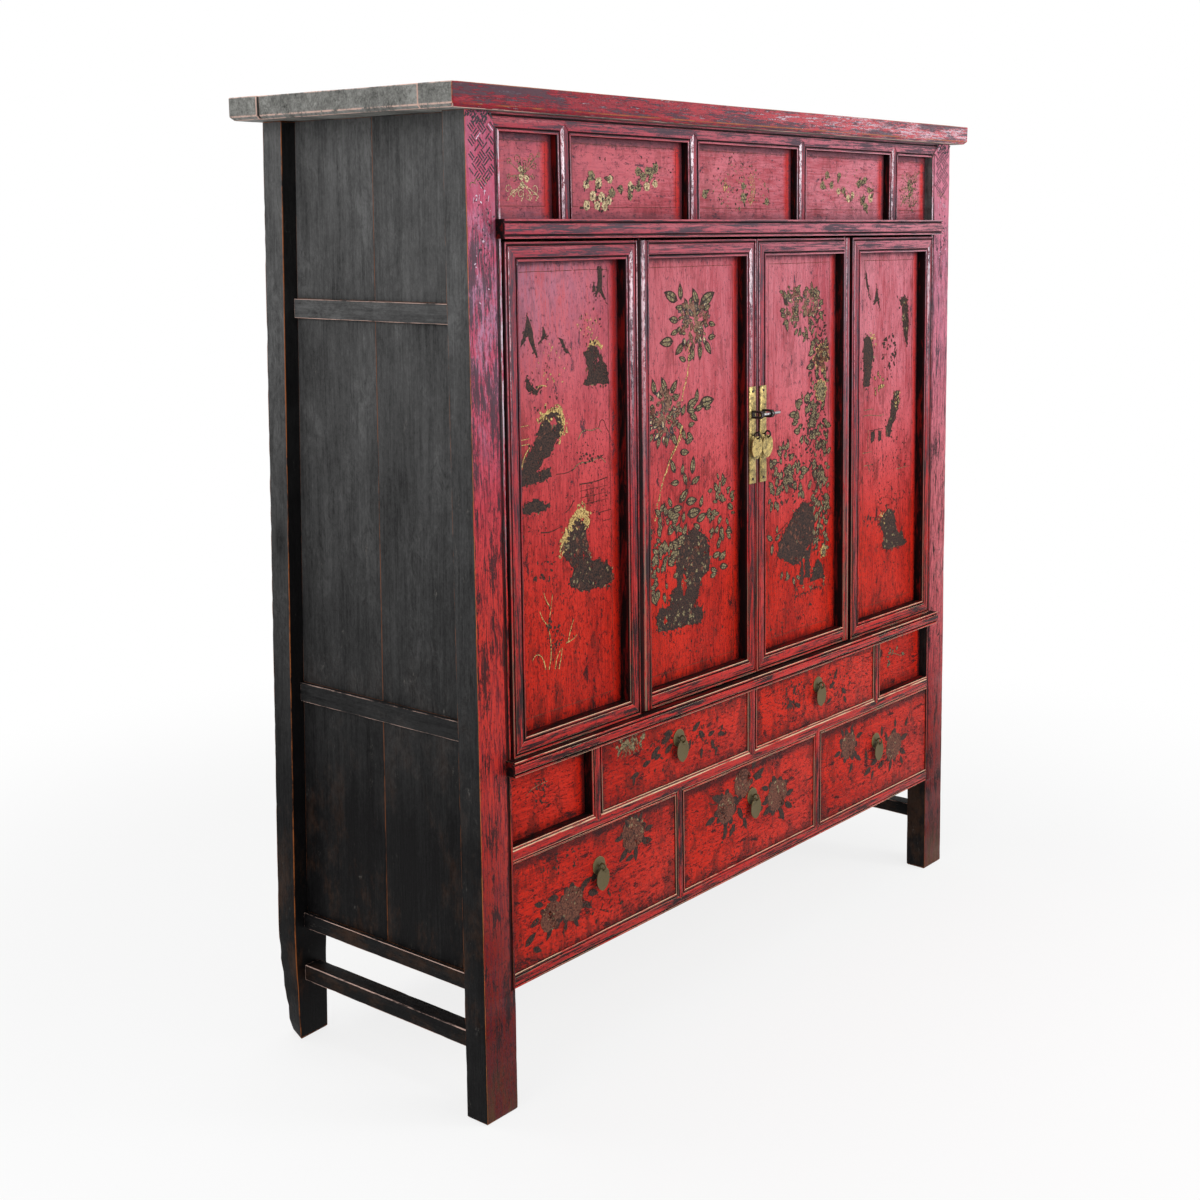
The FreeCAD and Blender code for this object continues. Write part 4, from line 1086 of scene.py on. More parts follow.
    def speckle(self, outline, size, tone, area):
        """Flecks strewn inside an outline, one to an area in square millimetres."""
        across, upward = zip(*outline)
        size_of_field = (max(across) - min(across)) * (max(upward) - min(upward))
        for _ in range(round(size_of_field / area)):
            x = self.between(min(across), max(across))
            z = self.between(min(upward), max(upward))
            crossings = 0
            for a, b in zip(outline, outline[1:] + outline[:1]):
                if (a[1] > z) != (b[1] > z) and x < a[0] + (b[0] - a[0]) * (z - a[1]) / (b[1] - a[1]):
                    crossings += 1
            if crossings % 2:
                self.dots(x, z, (1.0, 1.0), 1, size, tone)

    def meshed(self, curve):
        """The mesh of a curve."""
        flat = bpy.data.objects.new(self.name, curve)
        bpy.context.scene.collection.objects.link(flat)
        make_active(flat)
        bpy.ops.object.convert(target="MESH")
        mesh = bpy.context.object.data
        bpy.data.objects.remove(bpy.context.object)
        return mesh

    def border(self, corners, width=0.9, tone="umber"):
        """A thin painted line round the board."""
        for a, b in stretches(corners):
            steps = max(2, round((b - a).length / BORDER_PITCH))
            places = []
            for step in range(steps + 1):
                place = a.lerp(b, step / steps)
                places.append((place.x + self.between(-0.5, 0.5), place.y + self.between(-0.5, 0.5)))
            self.line(places, width, tone, 1.0)

    def lay_lines(self, tone, strokes):
        """Lines are drawn at their own places, so the board's face is worked out point by point."""
        curve = bpy.data.curves.new(self.name, "CURVE")
        curve.dimensions = "3D"
        curve.bevel_depth = 0.5
        curve.bevel_resolution = 1
        curve.resolution_u = 3
        curve.use_fill_caps = True
        for places, width, taper in strokes:
            spline = curve.splines.new("BEZIER")
            spline.bezier_points.add(len(places) - 1)
            last = max(1, len(places) - 1)
            for number, (point, place) in enumerate(zip(spline.bezier_points, places)):
                point.co = (place[0], place[1], 0.0)
                point.handle_left_type = point.handle_right_type = "AUTO"
                point.radius = width * (1.0 - (1.0 - taper) * number / last)
        mesh = self.meshed(curve)
        lift = self.relief * 0.5 + LAYER_LIFT * LAYERS * 0.5
        for point in mesh.vertices:
            x, z, rise = point.co
            height = z * MM
            point.co = (x * MM, self.face(height) - lift - rise * MM * LINE_FLATNESS, height)
        self.take(mesh, tone, Matrix.Identity(4))

    def done(self):
        for tone, strokes in self.lines.items():
            self.lay_lines(tone, strokes)
        pieces = []
        for tone, form in self.forms.items():
            mesh = bpy.data.meshes.new(self.name)
            for face in form.faces:
                face.material_index = 0
            form.to_mesh(mesh)
            form.free()
            mesh.materials.append(TONES[tone])
            pieces.append(add_piece(f"{self.name}_{tone}", mesh))
        piece = join_pieces(self.name, pieces)
        return finish_piece(piece, self.body, "red_lacquer")


def stretches(outline):
    """The straight stretches of a closed outline, each as two vectors."""
    return [(Vector(start), Vector(end)) for start, end in zip(outline, outline[1:] + outline[:1])]


LAYER_LIFT = 0.003 * MM
LAYERS = 140
LINE_FLATNESS = 0.12
CURL_STEPS = 9
EDGE_PITCH = 5.0
BORDER_PITCH = 60
LEAF_STEPS = 6
RIB = 0.07
SHAPES = {}


def outline_shape(name, corners, relief):
    """A thin closed shape from a disc whose rim points are moved to an outline, then thickened."""
    deselect_all()
    bpy.ops.mesh.primitive_circle_add(vertices=len(corners), radius=1.0, fill_type="NGON")
    piece = added(name)
    for point, place in zip(piece.data.vertices, corners):
        point.co = (place[0], place[1], 0.0)
    edit(piece, "VERT", "SELECT")
    bpy.ops.mesh.extrude_region_move(TRANSFORM_OT_translate={"value": (0.0, 0.0, relief)})
    bpy.ops.mesh.select_all(action="SELECT")
    bpy.ops.mesh.normals_make_consistent(inside=False)
    close()
    return piece


def leaf_outline(side=0):
    """Points round a leaf that is one long and one wide; side keeps only one half, clear of the rib."""
    edge = []
    for step in range(1, LEAF_STEPS):
        t = step / LEAF_STEPS
        edge.append((t, 0.5 * math.sin(math.pi * t ** 0.8) ** 0.8))
    if side == 0:
        return [(0.0, 0.0), *edge, (1.0, 0.0)] + [(x, -y) for x, y in reversed(edge)]
    half = [(x, y * side) for x, y in edge]
    rib = [(x, RIB * side) for x, _ in reversed(edge)]
    return rib + half if side > 0 else half + rib


def make_shapes(relief):
    """The few shapes that the painting is built from, each one unit long and wide."""
    height = relief / MM
    SHAPES["leaf"] = outline_shape("shape_leaf", leaf_outline(), height)
    halves = [outline_shape("shape_half", leaf_outline(side), height * 1.5) for side in (-1, 1)]
    SHAPES["halves"] = join_pieces("shape_halves", halves)
    petal = [(0.0, 0.0), (0.35, -0.3), (0.7, -0.5), (0.95, -0.3), (1.0, 0.0), (0.93, 0.32), (0.7, 0.5),
             (0.35, 0.3)]
    SHAPES["petal"] = outline_shape("shape_petal", petal, height)
    rim = [(0.62, -0.47), (0.7, -0.5), (0.95, -0.3), (1.0, 0.0), (0.93, 0.32), (0.7, 0.5), (0.62, 0.47),
           (0.84, 0.3), (0.9, 0.0), (0.84, -0.28)]
    SHAPES["petal_rim"] = outline_shape("shape_rim", rim, height * 1.5)
    fleck = [(0.0, 0.06), (0.36, -0.42), (0.84, -0.3), (1.0, 0.1), (0.62, 0.46), (0.22, 0.36)]
    SHAPES["fleck"] = outline_shape("shape_fleck", fleck, height)
    bar = [(-0.5, -0.4), (0.5, -0.5), (0.52, 0.4), (-0.48, 0.5)]
    SHAPES["bar"] = outline_shape("shape_bar", bar, height)


def clear_shapes():
    for piece in SHAPES.values():
        bpy.data.objects.remove(piece)
    SHAPES.clear()


MATERIALS = {}
TONES = {}


class CABINET_OT_finishes(bpy.types.Operator):
    """Mixes the finishes that several pieces share"""
    bl_idname = "cabinet.finishes"
    bl_label = "Finishes"

    def execute(self, context):
        colours = context.scene.cabinet_colours
        black = (colours, colours.black_light, colours.black_deep)
        MATERIALS.update(
            frame=member_finish("frame_crimson", colours),
            rail=member_finish("rail_crimson", colours, 0.004),
            leg=leg_finish("leg_crimson", colours),
            edge=leg_finish("top_edge_crimson", colours, False),
            black=black_finish("side_black", *black),
            seamed=black_finish("plank_black", *black, 0.0, 0.6),
            grey=black_finish("top_grey", colours, colours.grey, colours.grey_deep, -0.18, 1.0, 1.5),
            upright_board=board_finish("board_red", colours, "z"),
            frieze_board=board_finish("frieze_red", colours, "x"),
            drawer_board=board_finish("drawer_red", colours, "x", 0.01, 0.0),
            wood_x=bare_wood_finish("inside_wood_across", colours, "x"),
            wood_y=bare_wood_finish("inside_wood_deep", colours, "y"),
            wood_z=bare_wood_finish("inside_wood_upright", colours, "z", 0.1),
            brass=brass_finish("rubbed_brass", colours, 0.0),
            dull_brass=brass_finish("tarnished_brass", colours, 0.3),
            iron=iron_finish("dark_iron", colours, 0.0),
            steel=iron_finish("bright_iron", colours, 0.45))
        TONES.update(
            gilt=paint_finish("painted_gilt", colours.faded_gilt, colours.gilt, 0.58),
            cream=paint_finish("painted_cream", srgb(140, 112, 84), srgb(224, 204, 160), 0.58),
            olive=paint_finish("painted_faded_gilt", srgb(50, 44, 36), srgb(152, 136, 100), 0.57),
            ink=paint_finish("painted_ink", srgb(20, 18, 18), srgb(70, 46, 38), 0.575),
            umber=paint_finish("painted_umber", srgb(70, 36, 28), srgb(116, 72, 56), 0.56),
            dove=paint_finish("painted_dove_grey", srgb(88, 58, 48), srgb(146, 112, 90), 0.55),
            soot=paint_finish("painted_soot", srgb(36, 32, 38), srgb(70, 64, 72), 0.60),
            # Painted highlights: pale glints on the leg tops.
            pale=paint_finish("pale_rubs", colours.violet_sheen, colours.glint, 0.56))
        return {"FINISHED"}


class CABINET_OT_legs(bpy.types.Operator):
    """Four legs with worn arrises, the rear left one worn away at its foot"""
    bl_idname = "cabinet.legs"
    bl_label = "Legs"

    def execute(self, context):
        sizes = context.scene.cabinet_sizes
        for side in ("left", "right"):
            for end in ("front", "rear"):
                node = f"leg_{end}_{side}"
                piece = rounded_copy(node, f"{end}_{side}_leg", sizes.leg_arris, 4, 0.7)
                cut_across(piece, 2, CHIP_PITCH)
                weather(piece, sizes.wave, sizes.chip)
                if node == "leg_rear_left":
                    self.wear_foot(piece, sizes)
                mark_grain(piece, front_face(node))
                if end == "front":
                    repaint(piece, 1, is_front)
                clad(piece, 40.0, "cabinet", "leg_lacquer", node, MATERIALS["black"], MATERIALS["leg"])
        return {"FINISHED"}

    def wear_foot(self, piece, sizes):
        """Wears the foot away on its outer side, most at the rear corner and at the floor."""
        low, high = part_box("leg_rear_left")
        for point in piece.data.vertices:
            share = max(0.0, 1.0 - point.co.z / sizes.foot_wear_height) ** 1.7
            outer = 1.0 - min(1.0, max(0.0, point.co.x - low.x - sizes.foot_wear) / sizes.foot_wear)
            rear = max(0.0, (point.co.y - low.y) / (high.y - low.y))
            ragged = 0.8 + 0.4 * noise.noise(point.co * CHIPS_PER_METRE)
            point.co.x += sizes.foot_wear * share * outer * rear * ragged
            point.co.y -= sizes.foot_wear * share * outer * rear * ragged * 0.6


FRONT_STRIP = -240 * MM


class CABINET_OT_top(bpy.types.Operator):
    """Top planks: red along the front edge, worn grey on top and at the ends"""
    bl_idname = "cabinet.top"
    bl_label = "Top"

    def execute(self, context):
        sizes = context.scene.cabinet_sizes
        piece = merged_copy("top_planks", "top_board")
        self.step_ends(piece, sizes.end_step)
        round_arrises(piece, sizes.leg_arris * 0.7, 4, profile=0.6)
        cut_across(piece, 0, CHIP_PITCH)
        cut_across(piece, 1, CHIP_PITCH)
        weather(piece, sizes.wave, sizes.chip)
        mark_grain(piece)
        repaint(piece, 1, lambda polygon: is_front(polygon) and polygon.center.y <= FRONT_STRIP)
        clad(piece, 40.0, "cabinet", "top_lacquer", "top_planks", MATERIALS["grey"], MATERIALS["edge"])
        return {"FINISHED"}

    def step_ends(self, piece, step):
        """The rear plank's ends keep their place, and those of the other two lie a little further in."""
        planks = sorted(solids_of(piece.data), key=lambda points: max(point.co.y for point in points))
        for points in planks[:-1]:
            for point in points:
                point.co.x -= math.copysign(step, point.co.x)


class CABINET_OT_front_members(bpy.types.Operator):
    """Rails and posts of the front, moulded, with rubbed beads and dirty grooves"""
    bl_idname = "cabinet.front_members"
    bl_label = "Front rails and posts"

    def execute(self, context):
        width = context.scene.cabinet_sizes.bead_arris
        names = {"top_rail_front": "upper_front_rail", "head_rail": "rail_over_doors",
                 "sill_rail": "rail_under_doors", "mid_rail": "rail_between_drawers",
                 "base_rail": "lowest_front_rail", "frieze_posts": "posts_of_frieze",
                 "drawer_posts": "posts_of_drawers"}
        for node, name in names.items():
            moulded_piece(name, node, "cabinet", MATERIALS["rail"], MATERIALS["wood_x"], width)
        return {"FINISHED"}


class CABINET_OT_doors(bpy.types.Operator):
    """Frames and boards of the two doors and the two lift-out panels"""
    bl_idname = "cabinet.doors"
    bl_label = "Doors and panels"

    def execute(self, context):
        sizes = context.scene.cabinet_sizes
        for kind in ("door", "panel"):
            for side in ("left", "right"):
                body = f"{kind}_{side}"
                moulded_piece(f"frame_of_{body}", f"{kind}_frame_{side}", body, MATERIALS["frame"],
                              MATERIALS["wood_z"], sizes.bead_arris)
                board_piece(f"board_of_{body}", f"{kind}_board_{side}", body, MATERIALS["upright_board"],
                            sizes.bead_arris)
        return {"FINISHED"}


def dress(node, material):
    """Puts a material on a carried-over CAD node."""
    slots = NODES[node].data.materials
    for number in range(len(slots)):
        slots[number] = material
    if not slots:
        slots.append(material)


class CABINET_OT_boards(bpy.types.Operator):
    """Frieze boards, fixed boards and drawer fronts"""
    bl_idname = "cabinet.boards"
    bl_label = "Small boards"

    def execute(self, context):
        sizes = context.scene.cabinet_sizes
        for node, name in (("frieze_boards", "boards_of_frieze"), ("row_panels", "fixed_boards")):
            board_piece(name, node, "cabinet", MATERIALS["frieze_board"], sizes.bead_arris)
        for drawer in DRAWERS:
            board_piece(f"front_of_{drawer}_drawer", f"drawer_front_{drawer}", f"drawer_{drawer}",
                        MATERIALS["drawer_board"], sizes.bead_arris * 3)
        return {"FINISHED"}


class CABINET_OT_sides(bpy.types.Operator):
    """Black sides: boards, rails and the stretchers near the floor"""
    bl_idname = "cabinet.sides"
    bl_label = "Sides"

    def execute(self, context):
        width = context.scene.cabinet_sizes.rail_arris
        black, seamed = MATERIALS["black"], MATERIALS["seamed"]
        for side in ("left", "right"):
            black_piece(f"rails_of_{side}_side", f"side_rails_{side}", black, width, worn_along=1)
            planks = black_piece(f"planks_of_{side}_side", f"side_boards_{side}", seamed, width * 0.7, 2)
            self.bare_inside(planks, 0)
        black_piece("low_stretchers", "side_stretchers", black, width * 1.5, worn_along=1)
        self.bare_inside(black_piece("rails_of_rear", "rear_rails", black, width), 1)
        self.bare_inside(black_piece("planks_of_rear", "rear_boards", seamed, width * 0.7, 2), 1)
        return {"FINISHED"}

    def bare_inside(self, piece, axis):
        """Leaves the wood bare on the faces that look into the cupboard."""
        def looks_in(polygon):
            return polygon.normal[axis] * polygon.center[axis] < 0.0 and abs(polygon.normal[axis]) > 0.9

        piece.data.materials.append(MATERIALS["wood_z"])
        repaint(piece, 1, looks_in)


class CABINET_OT_inside(bpy.types.Operator):
    """Bare wood of shelf, floor, bearers, runners and drawer boxes"""
    bl_idname = "cabinet.inside"
    bl_label = "Inside"

    def execute(self, context):
        for node in ("cupboard_floor", "inner_shelf"):
            dress(node, MATERIALS["wood_x"])
        for node in ("bearers", "drawer_runners", *[f"drawer_box_{drawer}" for drawer in DRAWERS]):
            dress(node, MATERIALS["wood_y"])
        return {"FINISHED"}


NAIL_SPAN = 12 * MM
LEAF_HOLLOW = 0.3 * MM


def metal_piece(name, node, body, slot, material, width, angle=50.0):
    return clad(rounded_copy(node, name, width), angle, body, slot, node, material)


class CABINET_OT_lock(bpy.types.Operator):
    """Brass strips, nails, forged staples and the locking pin"""
    bl_idname = "cabinet.lock"
    bl_label = "Lock"

    def execute(self, context):
        width = context.scene.cabinet_sizes.metal_arris
        for side in ("left", "right"):
            body = f"door_{side}"
            self.darken_nails(metal_piece(f"brass_strip_{side}", f"lock_plate_{side}", body, "brass",
                                          MATERIALS["brass"], width, 40.0))
            metal_piece(f"staple_and_eye_{side}", f"lock_staples_{side}", body, "forged_iron",
                        MATERIALS["iron"], width)
        metal_piece("pin_of_lock", "locking_pin", "locking_pin", "forged_iron", MATERIALS["steel"],
                    width * 0.7)
        return {"FINISHED"}

    def darken_nails(self, piece):
        """Gives the small solids of a strip, its nails, the look of iron."""
        nails = set()
        for points in solids_of(piece.data):
            heights = [point.co.z for point in points]
            if max(heights) - min(heights) < NAIL_SPAN:
                nails.update(point.index for point in points)
        piece.data.materials.append(MATERIALS["iron"])
        repaint(piece, 1, lambda polygon: polygon.vertices[0] in nails)


class CABINET_OT_pulls(bpy.types.Operator):
    """Hanging leaves with raised rims, and the roses that their eyes go through"""
    bl_idname = "cabinet.pulls"
    bl_label = "Pulls"

    def execute(self, context):
        sizes = context.scene.cabinet_sizes
        for side in ("left", "right"):
            pull = f"door_pull_{side}"
            self.leaf(f"leaf_of_{side}_door", pull, pull, MATERIALS["brass"], sizes)
        for drawer in DRAWERS:
            self.leaf(f"leaf_of_{drawer}_drawer", f"pull_leaf_{drawer}", f"pull_{drawer}",
                      MATERIALS["dull_brass"], sizes)
            metal_piece(f"rose_of_{drawer}_drawer", f"pull_rose_{drawer}", f"drawer_{drawer}", "brass",
                        MATERIALS["dull_brass"], sizes.metal_arris)
        return {"FINISHED"}

    def leaf(self, name, node, body, material, sizes):
        piece = merged_copy(node, name)
        fronts = [face.area for face in piece.data.polygons if face.normal.y < -0.9]
        edit(piece, "FACE")
        pick(piece, "faces", lambda face: face.normal.y < -0.9 and face.calc_area() > max(fronts) * 0.5)
        bpy.ops.mesh.inset(thickness=sizes.leaf_rim, depth=-LEAF_HOLLOW)
        close()
        round_arrises(piece, LEAF_HOLLOW, 2, 20.0)
        clad(piece, 30.0, body, "brass", node, material)


def paint(name, node, body, drawing):
    """Lays a drawing on the board of a CAD node."""
    work = Ornament(name, node, body)
    drawing(work)
    work.done()


def left_door(work):
    work.border([(-316, 686), (-42, 686), (-42, 1432), (-316, 1432)])
    work.peony(-165, 1332, 44, 90)
    work.leaves([(-214, 1372, 44, 158), (-204, 1372, 32, 95), (-152, 1362, 36, 118), (-146, 1362, 52, 25),
        (-196, 1358, 26, 175), (-190, 1352, 20, 75), (-136, 1352, 26, 20), (-212, 1336, 30, 172),
        (-120, 1328, 24, -12), (-122, 1300, 26, 8), (-228, 1300, 42, 182), (-196, 1294, 34, 215),
        (-174, 1290, 30, 285), (-146, 1292, 32, 268), (-132, 1296, 34, 308), (-186, 1262, 26, 30),
        (-190, 1262, 24, 160), (-214, 1318, 24, 195)])
    work.stem([(-180, 1292), (-182, 1262), (-188, 1232), (-200, 1206), (-204, 1190)], 5.0)
    work.peony(-256, 1168, 44, 90)
    work.leaves([(-250, 1208, 34, 118), (-238, 1206, 32, 48), (-284, 1206, 32, 105), (-292, 1198, 26, 150),
        (-294, 1184, 22, 180), (-230, 1192, 24, 30), (-296, 1150, 22, 190), (-290, 1138, 26, 222),
        (-272, 1132, 26, 250), (-250, 1132, 26, 262), (-236, 1134, 30, 300), (-222, 1150, 26, 330),
        (-206, 1162, 26, 60), (-204, 1138, 26, 295), (-190, 1130, 26, 325), (-186, 1142, 22, 10),
        (-190, 1176, 40, 22), (-160, 1182, 28, 80), (-150, 1180, 48, 6), (-190, 1172, 30, -8),
        (-164, 1170, 28, 12), (-134, 1170, 22, 5), (-180, 1166, 30, -35), (-196, 1112, 28, 12),
        (-212, 1096, 30, -6)])
    work.stem([(-204, 1146), (-216, 1116), (-238, 1092), (-252, 1068), (-268, 1040), (-280, 1010),
        (-288, 976)], 6.0)
    work.stem([(-204, 1128), (-220, 1108), (-240, 1086)], 4.0)
    work.line([(-206, 1142), (-222, 1112), (-250, 1078)], 1.4, "ink", 1.0)
    work.leaves([(-226, 1058, 32, 118), (-206, 1052, 24, 80), (-174, 1050, 36, 82), (-214, 1040, 28, 178),
        (-192, 1032, 28, 108), (-178, 1032, 32, 22), (-216, 1002, 38, 38), (-238, 996, 24, 118),
        (-196, 1000, 38, 2), (-238, 990, 34, 5), (-192, 976, 46, 4), (-150, 984, 26, 70), (-162, 960, 36, 18),
        (-204, 962, 24, 80), (-226, 950, 24, 120), (-228, 926, 38, 20), (-206, 936, 30, 60),
        (-120, 950, 24, 60), (-150, 944, 26, 150)])
    work.line([(-190, 1040), (-200, 1000), (-214, 960), (-222, 925)], 1.6, "ink", 1.0)
    work.each(work.cluster, (-262, 940, (44, 52), 46, 22), (-270, 880, (38, 44), 34, 20),
        (-84, 972, (36, 62), 46, 20))
    work.leaves([(-112, 884, 30, 8), (-92, 874, 30, 30), (-88, 862, 30, -8), (-118, 862, 26, -20),
        (-120, 846, 24, 10), (-76, 872, 22, 70)])
    work.leaves([(-302, 846, 32, 300), (-282, 850, 26, 262)], "olive", 0.6)
    rock_on_left_door(work)
    work.dots(-150, 735, (120, 34), 26, 5.0)


def rock_on_left_door(work):
    work.rock([(-190, 940), (-172, 950), (-150, 938), (-132, 926), (-122, 905), (-118, 880), (-122, 860),
        (-140, 852), (-152, 840), (-156, 822), (-166, 806), (-178, 798), (-150, 792), (-142, 776),
        (-152, 762), (-200, 764), (-262, 764), (-284, 770), (-290, 796), (-276, 812), (-250, 810),
        (-240, 836), (-222, 846), (-228, 870), (-226, 898), (-214, 918)], holes=[[(-206, 868), (-196, 858),
        (-194, 838), (-204, 822), (-212, 842)], [(-262, 796), (-254, 786), (-262, 778), (-270, 786)]])
    work.each(work.dots, (-180, 885, (42, 46), 26, 9.0, "umber"), (-215, 785, (60, 14), 14, 8.0, "olive"))


def right_door(work):
    work.border([(80, 686), (302, 686), (302, 1432), (80, 1432)])
    work.each(work.peony, (165, 1352, 34, 50), (232, 1352, 32, 50))
    work.each(work.cluster, (158, 1352, (34, 40), 16, 18), (240, 1345, (34, 34), 16, 18),
        (200, 1316, (30, 22), 12, 18), (232, 1282, (22, 22), 10, 18))
    work.each(work.dots, (262, 1250, (36, 100), 130, 10.0), (255, 1085, (46, 90), 150, 9.0),
        (150, 1015, (62, 70), 110, 8.0), (272, 930, (32, 110), 110, 9.0))
    work.blossom(274, 1242, 30, "umber", 12, "gilt")
    work.cluster(262, 1262, (26, 22), 10, 20)
    work.leaves([(250, 1228, 34, 190), (262, 1222, 26, 250), (284, 1218, 26, 280), (284, 1262, 24, 60)])
    work.blossom(272, 1174, 24, "olive", 9, "gilt")
    work.each(work.cluster, (270, 1196, (24, 12), 8, 18), (220, 1120, (34, 46), 40, 22),
        (272, 1112, (24, 44), 26, 22))
    work.leaves([(186, 1132, 34, 178), (190, 1140, 26, 120)])
    work.each(work.cluster, (278, 1036, (24, 42), 26, 20), (138, 1026, (30, 42), 34, 20),
        (180, 1000, (34, 28), 30, 22), (104, 974, (20, 20), 14, 20))
    work.leaves([(92, 1028, 26, 100), (100, 1012, 24, 60), (200, 970, 26, 100), (226, 972, 26, 60)])
    work.each(work.cluster, (276, 952, (26, 44), 40, 20), (276, 868, (24, 34), 26, 18))
    work.rock([(276, 842), (288, 850), (298, 838), (292, 824), (278, 826)], "gilt", 1.5)
    work.line([(150, 916), (124, 902), (104, 896)], 2.0, "ink", 0.7)
    work.leaves([(96, 886, 26, 150), (96, 880, 26, 260), (104, 884, 24, 30), (110, 896, 20, 80),
        (132, 818, 20, 250), (146, 816, 20, 290), (160, 804, 22, 200), (170, 800, 22, 290),
        (182, 800, 20, 330)])
    work.rock([(178, 936), (216, 950), (246, 934), (252, 900), (250, 872), (240, 852), (234, 826), (236, 778),
        (246, 800), (262, 822), (280, 812), (288, 786), (298, 776), (290, 762), (262, 764), (232, 760),
        (200, 758), (172, 756), (180, 770), (196, 778), (200, 826), (170, 824), (142, 838), (112, 850),
        (120, 878), (146, 904)], holes=[[(206, 832), (212, 800), (210, 776), (216, 800), (214, 838)],
        [(228, 846), (240, 862), (226, 856), (214, 848)]])
    work.each(work.dots, (180, 880, (60, 40), 26, 9.0, "umber"), (180, 710, (110, 30), 30, 6.0))


class CABINET_OT_door_painting(bpy.types.Operator):
    """Flower sprays over rocks on the two doors"""
    bl_idname = "cabinet.door_painting"
    bl_label = "Painting on the doors"

    def execute(self, context):
        paint("painting_of_door_left", "door_board_left", "door_left", left_door)
        paint("painting_of_door_right", "door_board_right", "door_right", right_door)
        return {"FINISHED"}


def left_panel(work):
    work.border([(-672, 686), (-418, 686), (-414, 1432), (-662, 1432)])
    work.each(work.rock,
        ([(-646, 1306), (-630, 1340), (-622, 1364), (-612, 1340), (-606, 1312), (-598, 1290), (-612, 1306),
            (-622, 1330), (-634, 1318)], "ink", 1.4),
        ([(-598, 1314), (-588, 1326), (-584, 1344), (-574, 1320), (-582, 1322)], "ink", 1.2),
        ([(-546, 1322), (-536, 1320), (-528, 1304), (-516, 1292), (-530, 1298)], "ink", 1.2),
        ([(-440, 1434), (-428, 1434), (-430, 1400), (-418, 1374), (-436, 1394), (-452, 1384), (-442, 1404)],
            "ink", 1.6),
        ([(-452, 1394), (-446, 1396), (-450, 1410), (-456, 1404)], "ink", 1.0),
        ([(-478, 1292), (-462, 1306), (-446, 1300), (-432, 1282), (-420, 1262), (-416, 1236), (-436, 1238),
            (-462, 1236), (-484, 1240), (-470, 1256)],),
        ([(-476, 1296), (-460, 1314), (-440, 1312), (-436, 1300), (-452, 1304), (-466, 1290)], "gilt"),
        ([(-632, 1246), (-628, 1266), (-620, 1250), (-604, 1240), (-590, 1246), (-604, 1232), (-622, 1236)],
            "ink", 1.6))
    work.line([(-606, 1242), (-594, 1246), (-580, 1244)], 2.6, "gilt")
    work.rock([(-600, 1176), (-586, 1196), (-564, 1202), (-546, 1192), (-540, 1170), (-562, 1146),
        (-576, 1128), (-596, 1118), (-612, 1104), (-598, 1104), (-580, 1108), (-574, 1094), (-592, 1086),
        (-648, 1084), (-650, 1106), (-636, 1130), (-614, 1150)],
        holes=[[(-572, 1186), (-562, 1192), (-556, 1180), (-568, 1172)]])
    work.rock([(-604, 1184), (-590, 1200), (-566, 1208), (-544, 1204), (-534, 1184), (-544, 1156),
        (-552, 1150), (-544, 1176), (-552, 1192), (-568, 1196), (-588, 1190)], "gilt", 2.6)
    work.line([(-650, 1108), (-638, 1134), (-626, 1146)], 3.4, "gilt")
    work.rock([(-650, 1046), (-634, 1054), (-612, 1060), (-596, 1050), (-580, 1042), (-600, 1036),
        (-648, 1036)])
    for height in (1182, 1160, 1151):
        work.line([(-650, height), (-626, height + 1)], 1.8, "gilt", 0.6)
    work.each(work.rock,
        ([(-552, 962), (-540, 990), (-524, 1004), (-508, 1014), (-486, 1000), (-480, 960), (-474, 934),
            (-448, 930), (-438, 918), (-430, 928), (-418, 910), (-416, 884), (-450, 880), (-500, 882),
            (-530, 896), (-532, 910), (-520, 924), (-540, 944)],),
        ([(-556, 956), (-546, 990), (-528, 1006), (-514, 1024), (-496, 1030), (-478, 1018), (-476, 996),
            (-488, 990), (-492, 1010), (-508, 1012), (-524, 996), (-538, 978)], "gilt", 2.6))
    work.each(work.line,
        ([(-604, 1000), (-580, 998), (-548, 1004)], 2.0, "ink"),
        ([(-516, 1044), (-530, 1030), (-540, 1026)], 1.8, "ink"))
    pavilion(work)
    little_tree(work)
    work.each(work.dots, (-470, 1385, (40, 26), 14, 4.0), (-465, 1335, (34, 26), 30, 4.5, "gilt"),
        (-465, 1335, (34, 30), 26, 5.0), (-560, 1280, (50, 40), 26, 4.0, "gilt"),
        (-580, 1250, (60, 50), 26, 5.0), (-560, 1000, (90, 60), 24, 5.0), (-600, 930, (30, 22), 18, 8.0),
        (-540, 760, (110, 60), 26, 4.0))


def pavilion(work):
    work.each(work.line,
        ([(-502, 1146), (-490, 1160), (-462, 1160), (-446, 1162), (-438, 1154)], 1.8, "olive", 0.8),
        ([(-446, 1162), (-436, 1176), (-424, 1160), (-418, 1152)], 1.6, "ink", 0.8),
        ([(-518, 1096), (-500, 1106), (-470, 1106), (-442, 1110), (-428, 1100)], 2.0, "olive", 0.8),
        ([(-560, 1094), (-530, 1094), (-510, 1100)], 1.4, "ink", 0.8))
    work.dots(-470, 1112, (34, 8), 26, 6.0)
    work.line([(-500, 1070), (-460, 1070), (-424, 1074)], 2.2, "ink", 0.8)
    for place in (-496, -480, -464, -448, -432):
        work.line([(place, 1070), (place + 1, 1032)], 0.9, "ink", 0.8)
    for height in (1058, 1046, 1034):
        work.line([(-500, height), (-424, height + 2)], 0.9, "ink", 0.8)
    work.each(work.line,
        ([(-450, 1014), (-416, 1016)], 1.4, "ink", 0.8),
        ([(-440, 998), (-416, 999)], 1.2, "ink", 0.8))
    work.each(work.dots, (-455, 1040, (36, 30), 40, 4.0), (-480, 1125, (60, 46), 40, 3.4))


